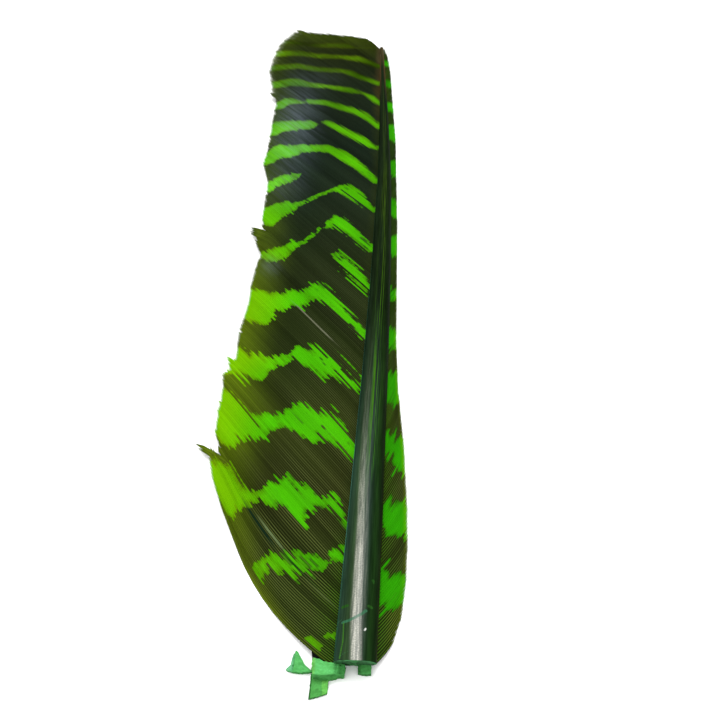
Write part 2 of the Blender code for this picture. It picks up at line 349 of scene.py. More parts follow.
class Recipe:
    """A material's nodes, put together one step at a time."""

    def __init__(self, name: str) -> None:
        """Start a material of that name with a Principled shader."""
        self.material = bpy.data.materials.new(name)
        self.material.use_nodes = True
        self.tree = self.material.node_tree
        self.shader = self.tree.nodes["Principled BSDF"]

    def layer(self, name: str, output: str = "Fac") -> Value:
        """A number kept on the piece's points."""
        node = self.tree.nodes.new("ShaderNodeAttribute")
        node.attribute_name = name
        return Value(self.tree, node.outputs[output])

    def tint(self, name: str) -> Value:
        """A colour kept on the piece's points."""
        return self.layer(name, "Color")

    def mix(self, share: Value | float, first: Source, second: Source, way: str = "MIX") -> Value:
        """Two colours mixed by share, in one of Blender's ways."""
        node = self.tree.nodes.new("ShaderNodeMix")
        node.data_type = "RGBA"
        node.blend_type = way
        lead_in((share, first, second), (node.inputs["Factor"], node.inputs[6], node.inputs[7]))
        return Value(self.tree, node.outputs[2])

    def cloud(self, where: Value, detail: float) -> Value:
        """Cloudy noise between 0 and 1, whose clouds are about 1 wide."""
        node = self.tree.nodes.new("ShaderNodeTexNoise")
        lead_in((where, 1.0, detail), (node.inputs[name] for name in ("Vector", "Scale", "Detail")))
        return Value(self.tree, node.outputs["Fac"])

    def drawn_cloud(self, across: Value, lengthwise: Value, grain: Grain) -> Value:
        """Cloudy noise on a piece's own two measures, drawn out as the grain says."""
        node = self.tree.nodes.new("ShaderNodeCombineXYZ")
        lead_in((across * grain[0], lengthwise * grain[1], grain[2]), node.inputs)
        return self.cloud(Value(self.tree, node.outputs[0]), grain[3])

    def object_cloud(self, scale: Triple, detail: float) -> Value:
        """Cloudy noise on the object's place, stretched by scale along each axis."""
        where = self.tree.nodes.new("ShaderNodeTexCoord").outputs["Object"]
        node = self.tree.nodes.new("ShaderNodeMapping")
        lead_in((Value(self.tree, where), scale), (node.inputs["Vector"], node.inputs["Scale"]))
        return self.cloud(Value(self.tree, node.outputs[0]), detail)

    def relief(self, height: Value, strength: float, distance: float) -> Value:
        """A bump of the given height, whose distance is in metres."""
        node = self.tree.nodes.new("ShaderNodeBump")
        names = ("Strength", "Distance", "Height")
        lead_in((strength, distance, height), (node.inputs[name] for name in names))
        return Value(self.tree, node.outputs[0])

    def deep(self, colour: Value) -> Value:
        """A dye deepened to suit the bright room, by multiplying it with a grey."""
        return self.mix(1.0, colour, (DYE_DEPTH,) * 3, "MULTIPLY")

    def finish(self, **sockets: Source) -> bpy.types.Material:
        """Set the shader's sockets, with _ for a space in their names, and give the material."""
        lead_in(sockets.values(), (self.shader.inputs[name.replace("_", " ")] for name in sockets))
        return self.material


@dataclass(frozen=True)
class BarbFinish:
    """Dyed barbs: bright bars with ragged ends on a dark ground, and a fine ribbing.

    It reads the layers that a vane keeps on its points: the dark and bright
    tints, how far inside a bright bar the point is, how soft the bar's end is,
    where the point is along and across its barb, the strength and tint of the
    barb's raised line, the strength of the painted shade between barbs, and the
    strength and tint of the painted sheen."""

    # How far a bar's end is moved by the noise, and how pointed it is on each barb, in mm.
    tooth: float = 0.9
    point: float = 0.7
    # Noise from barb to barb and along them: for the bars' ends, for dark dashes and for the painted sheen.
    tooth_grain: Grain = (1.7, 0.8, 0.0, 2.0)
    dash_grain: Grain = (0.95, 0.09, 13.0, 2.0)
    painted_sheen_grain: Grain = (0.37, 0.05, 7.0, 3.0)
    # Where the dashes and the painted sheen show: from none to all, between two levels of the noise.
    dash_levels: Point = (0.6, 0.64)
    painted_sheen_levels: Point = (0.34, 0.64)
    # A bar's own end is another green, over this distance.
    end_run: float = 1.6
    # Where the raised line and the painted shade of the seam between barbs are across a barb, from 0
    # at its middle to 1 at its edges, and how much of each is lost inside a bar.
    line_from: Point = (0.4, 0.1)
    seam_shade_from: Point = (0.5, 1.0)
    line_loss: float = 0.88
    seam_shade_loss: float = 0.55
    seam_shade_tint: Colour = (0.28, 0.36, 0.3)
    rib_pitch: float = 0.24
    rib_slant: float = 0.2
    rib_share: float = 0.12
    rib_height: float = 0.35
    rib_tint: Colour = (0.35, 0.4, 0.35)
    least_painted_sheen: float = 0.35
    roughness: float = 0.7
    shine: float = 0.004
    # The relief's strength, and its depth in metres.
    relief: Point = (0.4, 0.00006)

    def make(self) -> bpy.types.Material:
        """The material."""
        recipe = Recipe("dyed_barbs")
        barb, reach, soft = (recipe.layer(name) for name in ("barb", "reach", "soft"))
        off_line = abs(recipe.layer("across"))
        tooth = (recipe.drawn_cloud(barb, reach, self.tooth_grain) - 0.5) * (2 * self.tooth)
        uneven = tooth + (0.5 - off_line) * self.point
        depth = recipe.layer("bar") + uneven * recipe.layer("fit")
        dash = recipe.drawn_cloud(barb, reach, self.dash_grain).rise(*self.dash_levels)
        is_bright = depth.rise(soft * -1.0, soft) * (1.0 - dash * recipe.layer("dashes"))
        past_end = depth.rise(0.0, self.end_run)
        bright = recipe.mix(past_end, recipe.tint("bright_end"), recipe.tint("bright"))
        colour = recipe.mix(is_bright, recipe.tint("dark"), bright)

        on_line = off_line.rise(*self.line_from)
        line = on_line * recipe.layer("line") * (1.0 - is_bright * self.line_loss)
        colour = recipe.mix(line, colour, recipe.tint("line_tint"))
        # The seams between barbs are darkened: painted shade.
        seam = off_line.rise(*self.seam_shade_from) * recipe.layer("seam")
        seam = seam * (1.0 - is_bright * self.seam_shade_loss)
        colour = recipe.mix(seam, colour, self.seam_shade_tint, "MULTIPLY")
        slant = reach + off_line * self.rib_slant
        rib = (slant * (2 * math.pi / self.rib_pitch)).step("SINE") * 0.5 + 0.5
        colour = recipe.mix(rib * self.rib_share, colour, self.rib_tint, "MULTIPLY")

        # Painted sheen: a bluish tint added over the colour, in soft streaks along the barbs.
        sheen = recipe.drawn_cloud(barb, reach, self.painted_sheen_grain).rise(*self.painted_sheen_levels)
        sheen = recipe.layer("painted_sheen") * (sheen * (1 - self.least_painted_sheen) + self.least_painted_sheen)
        colour = recipe.mix(sheen, colour, recipe.tint("painted_sheen_tint"), "ADD")
        return recipe.finish(
            Base_Color=recipe.deep(colour),
            Roughness=self.roughness,
            Specular_IOR_Level=self.shine,
            Normal=recipe.relief(rib * self.rib_height + on_line, *self.relief),
        )


@dataclass(frozen=True)
class HornFinish:
    """Dyed horn: dark and streaked along its length, rubbed pale and shiny along its crest, where the
    paleness is partly a painted highlight.

    Bright threads show in its groove, and a few marks near its cut end."""

    roughness: float = 0.34
    # Noise across and along the shaft: its fine grain, broad streaks, bright threads and flecks.
    grain: Grain = (3.2, 0.16, 0.0, 4.0)
    broad: Grain = (0.9, 0.035, 3.0, 2.0)
    threads: Grain = (4.2, 0.022, 5.0, 2.0)
    flecks: Grain = (2.6, 6.0, 9.0, 3.0)
    # Where they show: from none to all, between two levels of the noise. The flecks break the worn
    # crest and its painted highlight up, and the grain darkens the horn between its streaks.
    streak_levels: Point = (0.3, 0.7)
    thread_levels: Point = (0.52, 0.58)
    fleck_levels: Point = (0.62, 0.32)
    grain_levels: Point = (0.62, 0.35)
    pores: Triple = (2600.0, 900.0, 2600.0)
    pore_detail: float = 3.0
    pore_height: float = 0.5
    # The worn crest's dark and pale tints, the paleness partly a painted highlight, and its least share.
    worn_dark: Colour = (0.24, 0.25, 0.20)
    worn_pale: Colour = (0.70, 0.68, 0.57)
    least_worn: float = 0.45
    grain_tint: Colour = (0.4, 0.42, 0.4)
    grain_share: float = 0.5
    # How rough the pores make the horn, and how it shines where it is whole and where it is worn.
    uneven_roughness: float = 0.2
    shine: float = 0.004
    worn_shine: float = 0.5
    # The relief's strength, and its depth in metres.
    relief: Point = (0.3, 0.0001)
    # How soft and how ragged the marks' edges are, in mm.
    mark_edge: float = 0.08
    mark_rag: float = 0.2
    # Each mark, and its tint. The glint is a painted highlight.
    marks: tuple[tuple[str, Colour], ...] = (
        ("stain", (0.020, 0.085, 0.012)),
        ("scratch", (0.040, 0.155, 0.075)),
        ("hairline", (0.050, 0.190, 0.016)),
        ("hair", (0.045, 0.200, 0.070)),
        ("glint", (0.80, 0.82, 0.76)),
    )

    def make(self) -> bpy.types.Material:
        """The material."""
        recipe = Recipe("dyed_horn")
        spread = recipe.layer("side") * recipe.layer("half_width")
        run, worn = recipe.layer("run"), recipe.layer("worn")
        grain, broad, thread, fleck = (
            recipe.drawn_cloud(spread, run, noise)
            for noise in (self.grain, self.broad, self.threads, self.flecks)
        )
        light = broad.rise(*self.streak_levels)
        ground = recipe.mix(light, recipe.tint("ground"), recipe.tint("ground_light"))
        # The worn crest's paleness, partly a painted highlight.
        pale = recipe.mix(grain.rise(*self.streak_levels), self.worn_dark, self.worn_pale)
        patchy = fleck.rise(*self.fleck_levels) * (1 - self.least_worn) + self.least_worn
        colour = recipe.mix(worn * patchy, ground, pale)
        bright = recipe.layer("thread") * thread.rise(*self.thread_levels)
        colour = recipe.mix(bright, colour, recipe.tint("thread_tint"))
        ragged = (fleck - 0.5) * self.mark_rag
        for mark, tint in self.marks:
            share = (recipe.layer(mark) + ragged).rise(self.mark_edge, -self.mark_edge)
            colour = recipe.mix(share, colour, tint)
        dark = grain.rise(*self.grain_levels) * self.grain_share
        colour = recipe.mix(dark, colour, self.grain_tint, "MULTIPLY")
        pores = recipe.object_cloud(self.pores, self.pore_detail)
        return recipe.finish(
            Base_Color=recipe.deep(colour),
            Roughness=(pores - 0.5) * self.uneven_roughness + self.roughness,
            Specular_IOR_Level=worn * self.worn_shine + self.shine,
            Normal=recipe.relief(pores * self.pore_height + (grain + fleck), *self.relief),
        )


@dataclass(frozen=True)
class PithFinish:
    """Torn dyed pith: matt, spongy and a little fibrous."""

    roughness: float = 0.85
    shine: float = 0.15
    pores: Triple = (3000.0, 3000.0, 3000.0)
    pore_detail: float = 4.0
    patches: Triple = (700.0, 1500.0, 700.0)
    patch_detail: float = 3.0
    # Where the light patches and the dark pores show: from none to all, between two levels.
    patch_levels: Point = (0.35, 0.65)
    pore_levels: Point = (0.5, 0.3)
    pore_share: float = 0.35
    pore_tint: Colour = (0.5, 0.62, 0.5)
    # The relief's strength, and its depth in metres.
    relief: Point = (0.5, 0.00012)

    def make(self) -> bpy.types.Material:
        """The material."""
        recipe = Recipe("torn_pith")
        pores = recipe.object_cloud(self.pores, self.pore_detail)
        patches = recipe.object_cloud(self.patches, self.patch_detail)
        light = patches.rise(*self.patch_levels)
        colour = recipe.mix(light, recipe.tint("shade"), recipe.tint("light"))
        dark = pores.rise(*self.pore_levels) * self.pore_share
        colour = recipe.mix(dark, colour, self.pore_tint, "MULTIPLY")
        return recipe.finish(
            Base_Color=recipe.deep(colour),
            Roughness=self.roughness,
            Specular_IOR_Level=self.shine,
            Normal=recipe.relief(patches + pores, *self.relief),
        )


# ---------------------------------------------------------------- the shaft's course


@dataclass(frozen=True)
class Course:
    """Where the shaft runs and how thick it is: the vanes leave from it."""

    length: float = 243.0
    bow: Stations = ((0, 0.0), (55, 1.3), (100, 2.15), (140, 2.5), (184, 2.1), (216, 1.05), (243, 0.0))
    width: Stations = ((0, 8.4), (22, 7.9), (55, 7.0), (110, 5.65), (165, 4.1), (198, 2.9), (243, 1.3))
    height: Stations = ((0, 5.0), (55, 4.5), (110, 3.8), (165, 2.9), (198, 2.2), (243, 1.0))
    join_share: float = 0.27
    tip_lift: float = 2.4
    tip_lift_from: float = 176.0

    def middle(self, y: Floats) -> Floats:
        """X of the shaft's middle."""
        return along(self.bow, y)

    def half_width(self, y: Floats) -> Floats:
        """Half the shaft's width."""
        return along(self.width, y) / 2

    def thickness(self, y: Floats) -> Floats:
        """The shaft's height, from its flat back to its top."""
        return along(self.height, y)

    def join(self, y: Floats) -> Floats:
        """The height at which the vanes leave the shaft."""
        return self.join_share * self.thickness(y)

    def lift(self, y: Floats) -> Floats:
        """How far the tip is curved up off the surface: the square of the way along it."""
        share = (y - self.tip_lift_from) / (self.length - self.tip_lift_from)
        return self.tip_lift * np.clip(share, 0, None) ** 2


# ---------------------------------------------------------------- the shaft


@dataclass
class Shaft:
    """The shaft: domed above with a shallow groove, flat below, cut off square at its thick end."""

    course: Course
    around: int = 112
    dome: float = 0.5
    belly: float = 0.58
    groove_depth: Stations = ((0, 0.0), (38, 0.0), (60, 0.34), (165, 0.32), (226, 0.12), (243, 0.0))
    groove_width: float = 0.24
    cut_foot: float = 0.5
    cut_top: float = -1.1
    cut_fade: float = 2.5
    # Each mark: half its width, and its lines. A line is its points (x, y). The glint is a painted highlight.
    marks: tuple[tuple[str, float, tuple[Stations, ...]], ...] = (
        ("stain", 0.32, (
            ((-2.9, 10.8), (-2.0, 10.9)), ((2.3, 10.9), (2.8, 10.7)), ((3.0, 17.0), (3.1, 16.4)),
        )),
        ("scratch", 0.29, (((-2.75, 7.25), (-1.6, 7.45), (-0.4, 8.05), (0.9, 8.9), (1.75, 9.75)),)),
        ("hairline", 0.1, (((-2.55, 7.1), (-2.5, 3.2), (-3.0, -0.5)),)),
        ("hair", 0.05, (
            ((-3.3, -0.2), (-2.4, 0.35), (-1.3, 0.9)), ((-3.9, 7.6), (-3.0, 8.0)), ((1.0, 1.9), (1.05, -0.6)),
        )),
        ("glint", 0.15, (((1.62, 5.4), (1.82, 5.8)),)),
    )
    # Where the worn crest and its painted highlight run, as a share of the half width, by distance
    # along the shaft.
    crest: Stations = ((0, 0.04), (8, -0.07), (27, -0.17), (45, -0.32), (70, -0.42), (120, -0.45))
    crest_spread: Stations = ((0, 0.24), (15, 0.24), (27, 0.21), (60, 0.2), (110, 0.16))
    crest_rub_and_highlight: Stations = (
        (0, 1.0), (24, 0.92), (38, 0.45), (52, 0.2), (64, 0.08), (80, 0.02), (95, 0.0), (243, 0.0),
    )
    # A dim grey painted highlight fringe beside the crest.
    highlight_fringe: Stations = ((0, 0.0), (6, 0.05), (18, 0.2), (40, 0.16), (60, 0.06), (85, 0.0))
    highlight_fringe_half: float = 0.09
    # The tint across the shaft, from its left side at -1 to its right side at 1: lightest in the
    # middle and darkest towards the right.
    ground: Tints = (
        (-1.0, (0.012, 0.044, 0.024)), (-0.88, (0.014, 0.036, 0.021)), (-0.7, (0.018, 0.041, 0.020)),
        (-0.45, (0.024, 0.052, 0.018)), (-0.1, (0.030, 0.060, 0.030)), (0.12, (0.030, 0.052, 0.040)),
        (0.3, (0.014, 0.032, 0.018)), (0.45, (0.009, 0.027, 0.008)), (0.6, (0.008, 0.028, 0.005)),
        (0.85, (0.005, 0.015, 0.003)), (0.95, (0.005, 0.011, 0.002)), (1.0, (0.018, 0.024, 0.005)),
    )
    # The painted reflection along the left rim, by distance along the shaft, and how much it keeps
    # off the far tint.
    rim: Stations = ((0, 0.0), (12, 0.1), (28, 1.0), (70, 0.9), (150, 0.6), (200, 0.0))
    rim_reflection_tint: Colour = (0.050, 0.150, 0.125)
    rim_ramp: Point = (0.95, 0.04)
    rim_hold: float = 0.6
    # Darker away from the cut, brown beside the top towards the tip, and brown all over at it.
    far_tint: Colour = (0.0035, 0.009, 0.0016)
    far_ramp: Point = (28, 90)
    far_share: float = 0.92
    brown: Colour = (0.060, 0.030, 0.009)
    brown_ramp: Point = (205, 28)
    side_ramp: Point = (0.35, 0.4)
    brown_share: float = 0.9
    tip_brown: Colour = (0.052, 0.040, 0.014)
    tip_ramp: Point = (226, 14)
    tip_share: float = 0.8
    # The bright threads in the groove: where they lie across it, where they come and go, and their dye.
    in_groove: Point = (0.12, 0.3)
    thread_start: Point = (38, 16)
    thread_end: Point = (190, 40)
    thread: Tints = (
        (0, (0.050, 0.24, 0.008)), (80, (0.055, 0.20, 0.006)), (120, (0.050, 0.12, 0.004)),
        (160, (0.045, 0.095, 0.004)), (243, (0.030, 0.060, 0.004)),
    )

    def rows(self) -> Floats:
        """The stations along the shaft, close together near the marked end."""
        near, further = np.arange(0, 14, 0.16), np.arange(14, 60, 1.0)
        return np.concatenate([near, further, np.arange(60, self.course.length, 1.8), [self.course.length]])

    def surface(self, y: Floats, angle: Floats) -> Floats:
        """Points of the shaft's surface.

        The section is half an ellipse above its widest level and half of a
        deeper one below, cut off flat at the surface that it lies on. The
        groove is a bell curve taken off the top. Near the cut each section
        leans, so that its top stands forward of its foot.

        Args:
            y: stations along the shaft.
            angle: places round it, from the +X side over the top.

        Returns:
            An array of stations by places by 3.
        """
        half = self.course.half_width(y)[:, None]
        tall = self.course.thickness(y)[:, None]
        x = half * np.cos(angle)
        up = np.sin(angle)
        z = tall * (self.dome + np.where(up > 0, 1 - self.dome, self.belly) * up)
        dent = along(self.groove_depth, y)[:, None] * bell(x, 0, self.groove_width * half)
        z = np.clip(z - dent * (up > 0), 0, None)
        lean = self.cut_foot + (self.cut_top - self.cut_foot) * z / tall
        forward = y[:, None] + lean * fade(y, 0, self.cut_fade)[:, None]
        middle, lift = self.course.middle(y)[:, None], self.course.lift(y)[:, None]
        return np.stack([x + middle, forward, z + lift], axis=-1)

    def dye(self, side: Floats, run: Floats) -> Floats:
        """The horn's colour, which darkens away from the cut and is brown near the tip, with a painted
        reflection along its left rim.

        Args:
            side: places across the shaft, from -1 to 1.
            run: their distances along it.

        Returns:
            A colour for each place.
        """
        ground = tinted(self.ground, side)
        # A painted reflection along the left rim.
        rim = ramp(-side, *self.rim_ramp) * straight(self.rim, run)
        ground = mixed(ground, self.rim_reflection_tint, rim)
        far = self.far_share * ramp(run, *self.far_ramp) * (1 - self.rim_hold * rim)
        ground = mixed(ground, self.far_tint, far)
        beside = ramp(np.abs(side), *self.side_ramp) * ramp(run, *self.brown_ramp)
        ground = mixed(ground, self.brown, self.brown_share * beside)
        return mixed(ground, self.tip_brown, self.tip_share * ramp(run, *self.tip_ramp))

    def rub_and_highlight(self, side: Floats, run: Floats) -> Floats:
        """How rubbed the top is, with its painted highlight: along its crest, and a dim painted highlight
        band to the right of it.

        Args:
            side: places across the shaft, from -1 to 1.
            run: their distances along it.

        Returns:
            How much rub and painted highlight each place has, from 0 to 1.
        """
        crest, spread = straight(self.crest, run), straight(self.crest_spread, run)
        worn = np.exp(-(((side - crest) / spread) ** 4)) * straight(self.crest_rub_and_highlight, run)
        highlight_fringe = bell(side, crest + 1.5 * spread, self.highlight_fringe_half) * straight(self.highlight_fringe, run)
        return np.maximum(worn, highlight_fringe)

    def build(self, finish: bpy.types.Material) -> None:
        """Build the shaft, with the layers that its finish reads.

        Args:
            finish: the horn's material.
        """
        y = self.rows()
        angle = np.linspace(0, 2 * math.pi, self.around, endpoint=False)
        points = self.surface(y, angle)
        side, top, run, half = (
            np.broadcast_to(values, points.shape[:2])
            for values in (np.cos(angle), np.sin(angle) > 0, y[:, None], self.course.half_width(y)[:, None])
        )
        ground = self.dye(side, run)
        in_groove = bell(side, *self.in_groove) * ramp(run, *self.thread_start) * fade(run, *self.thread_end)
        layers = {
            "side": side,
            "run": run,
            "half_width": half,
            "ground": ground,
            "ground_light": ground * 1.7 + 0.001,
            "worn": top * self.rub_and_highlight(side, run),
            "thread": in_groove,
            "thread_tint": tinted(self.thread, run),
        }
        for name, half_width, lines in self.marks:
            gap = np.min([off_edge(points[..., :2], line) for line in lines], axis=0) - half_width
            layers[name] = np.where(top, gap, NOT_MARKED)
        layers = {name: np.array(values) for name, values in layers.items()}
        piece = new_piece("shaft", points, tube_faces(1, *points.shape[:2]), layers, finish, 50.0)
        put_in_place(piece)


# ---------------------------------------------------------------- the vanes


@dataclass(frozen=True)
class Split:
    """A split in a vane's edge, and the bend of the barbs below it.

    The barbs whose roots are less than a fan below the split's root bend back
    by up to the bend, in degrees, from the start on, and reach further out."""

    root: float
    start: float
    bend: float
    reach: float
    fan: float


@dataclass(frozen=True)
class Streak:
    """A few barbs that differ in colour over a part of their length, and may be sunk.

    They are those less than the spread from the root, from the first to the
    last distance along them. Some of them are painted shadow along a sunk crease."""

    root: float
    spread: float
    first: float
    last: float
    tint: Colour
    strength: float
    sink: float = 0.0


@dataclass(frozen=True)
class Bar:
    """A bright bar: its lower and upper edge at each station across the vane."""

    stations: tuple[Triple, ...]

    def edges(self, x: Floats) -> tuple[Floats, Floats]:
        """Its lower and upper edge at some places across the vane."""
        at, low, high = np.array(self.stations).T
        return np.interp(x, at, low), np.interp(x, at, high)


@dataclass(frozen=True)
class Dye:
    """How a vane is dyed, and the painted shade between its barbs and its painted sheen.

    A table runs along the feather, from the cut to the tip. A ramp is the
    place along the feather where something sets in or fades, and over what
    distance, and a reach is the same along the barbs."""

    dark: Tints = (
        (0, (0.020, 0.033, 0.006)), (40, (0.021, 0.026, 0.005)), (62, (0.028, 0.038, 0.006)),
        (80, (0.018, 0.028, 0.005)), (120, (0.015, 0.023, 0.006)), (150, (0.011, 0.020, 0.009)),
        (180, (0.009, 0.018, 0.010)), (220, (0.011, 0.018, 0.008)), (240, (0.015, 0.021, 0.005)),
        (253, (0.028, 0.042, 0.005)),
    )
    bright: Tints = (
        (0, (0.062, 0.43, 0.003)), (24, (0.066, 0.45, 0.002)), (60, (0.074, 0.50, 0.002)),
        (150, (0.076, 0.47, 0.002)), (185, (0.088, 0.40, 0.002)), (210, (0.082, 0.32, 0.003)),
        (230, (0.070, 0.180, 0.002)), (241, (0.066, 0.15, 0.002)), (245, (0.038, 0.068, 0.003)),
        (253, (0.042, 0.075, 0.004)),
    )
    bright_end: Colour = (0.85, 0.62, 1.0)
    # A plainer green over the bright one, and its share.
    plain: Colour = (0.026, 0.36, 0.002)
    plain_share: float = 0.0
    # Olive on the dark ground near the edge: how far in it reaches, and how strong it is.
    olive: Colour = (0.108, 0.170, 0.004)
    olive_run: Stations = ((0, 2), (12, 3), (25, 6), (45, 12), (64, 19), (85, 12), (253, 12))
    olive_power: float = 1.25
    olive_share: Stations = (
        (0, 0.5), (25, 0.7), (45, 0.95), (60, 1.0), (75, 0.85), (130, 0.5), (150, 0.3), (253, 0.25),
    )
    # Green on the dark ground of short barbs, away from the cut.
    inner: Colour = (0.030, 0.085, 0.002)
    inner_reach: Point = (2, 7)
    inner_ramp: Point = (40, 60)
    inner_share: float = 0.0
    # Yellow in the bright bars near the edge.
    yellow: Colour = (0.195, 0.51, 0.001)
    yellow_run: float = 13.5
    yellow_share: Stations = (
        (0, 0.3), (25, 0.4), (40, 1), (85, 1), (115, 0.8), (135, 0.4), (165, 0.25), (200, 0.1),
    )
    yellow_strength: float = 1.0
    # The ground beside the shaft.
    by_shaft: Tints = (
        (0, (0.022, 0.034, 0.006)), (190, (0.022, 0.034, 0.008)), (218, (0.060, 0.042, 0.012)),
        (243, (0.090, 0.070, 0.034)),
    )
    by_shaft_run: float = 4.0
    by_shaft_share: Stations = ((0, 0.3), (60, 0.8), (200, 0.8), (253, 0.9))
    by_shaft_strength: float = 1.0
    rim: Colour = (0.170, 0.250, 0.012)
    rim_run: float = 1.0
    rim_share: Stations = ((0, 0.9), (45, 0.8), (60, 0.3), (253, 0.1))
    # The bleached ends of the barbs at the far corner, on dark and on bright. The corner's own ramp
    # runs across the feather, towards -X.
    bleached: tuple[Colour, Colour] = ((0.28, 0.31, 0.20), (0.24, 0.36, 0.14))
    bleach_run: float = 2.6
    bleach_ramp: Point = (206, 10)
    bleach_corner: Point = (29, 4)
    # How the tone changes from barb to barb, its share in the bright bars, and their soft patches.
    tone: tuple[float, ...] = (0.12, 2.5, 0.08, 0.6, 1.5)
    bright_tone: float = 0.4
    patch_waves: int = 6
    patch_turns: float = 0.4
    patch_depth: float = 1.1
    patchy: Stations = ((0, 0.0), (130, 0.2), (190, 0.4), (212, 1.0), (253, 1.0))
    # The raised lines: faint far out, greener near the shaft and the cut, yellow on the first barbs.
    line: Tints = (
        (0, (0.112, 0.158, 0.028)), (40, (0.108, 0.130, 0.034)), (80, (0.078, 0.096, 0.030)),
        (120, (0.046, 0.058, 0.026)), (253, (0.028, 0.035, 0.020)),
    )
    line_share: Stations = ((0, 0.8), (45, 0.75), (85, 0.55), (120, 0.38), (170, 0.2), (253, 0.1))
    line_strength: float = 1.0
    line_tone: tuple[float, ...] = (0.28, 1.6, 0.22, 0.25, 1.7)
    faint_reach: Point = (20, 14)
    faint_ramp: Point = (22, 14)
    faint_share: float = 0.65
    line_green: Colour = (0.075, 0.21, 0.010)
    green_reach: float = 8.0
    green_from: float = 12.0
    green_run: float = 30.0
    line_first: Colour = (0.175, 0.260, 0.022)
    first_reach: Point = (1.5, 5)
    first_ramp: Point = (8, 14)
    first_share: float = 0.0
    line_olive: Colour = (0.150, 0.190, 0.010)
    line_olive_share: float = 0.7
    # How strong the painted shade in the seams between barbs is, along the feather.
    seam: Stations = ((0, 0.62), (60, 0.5), (110, 0.35), (170, 0.2), (253, 0.1))
    # How soft the bars' ends are, in mm.
    soft: Stations = ((0, 0.12), (110, 0.15), (150, 0.32), (180, 0.5), (205, 0.7), (243, 0.95))
    # The tint of the painted sheen.
    painted_sheen: Colour = (0.075, 0.092, 0.112)


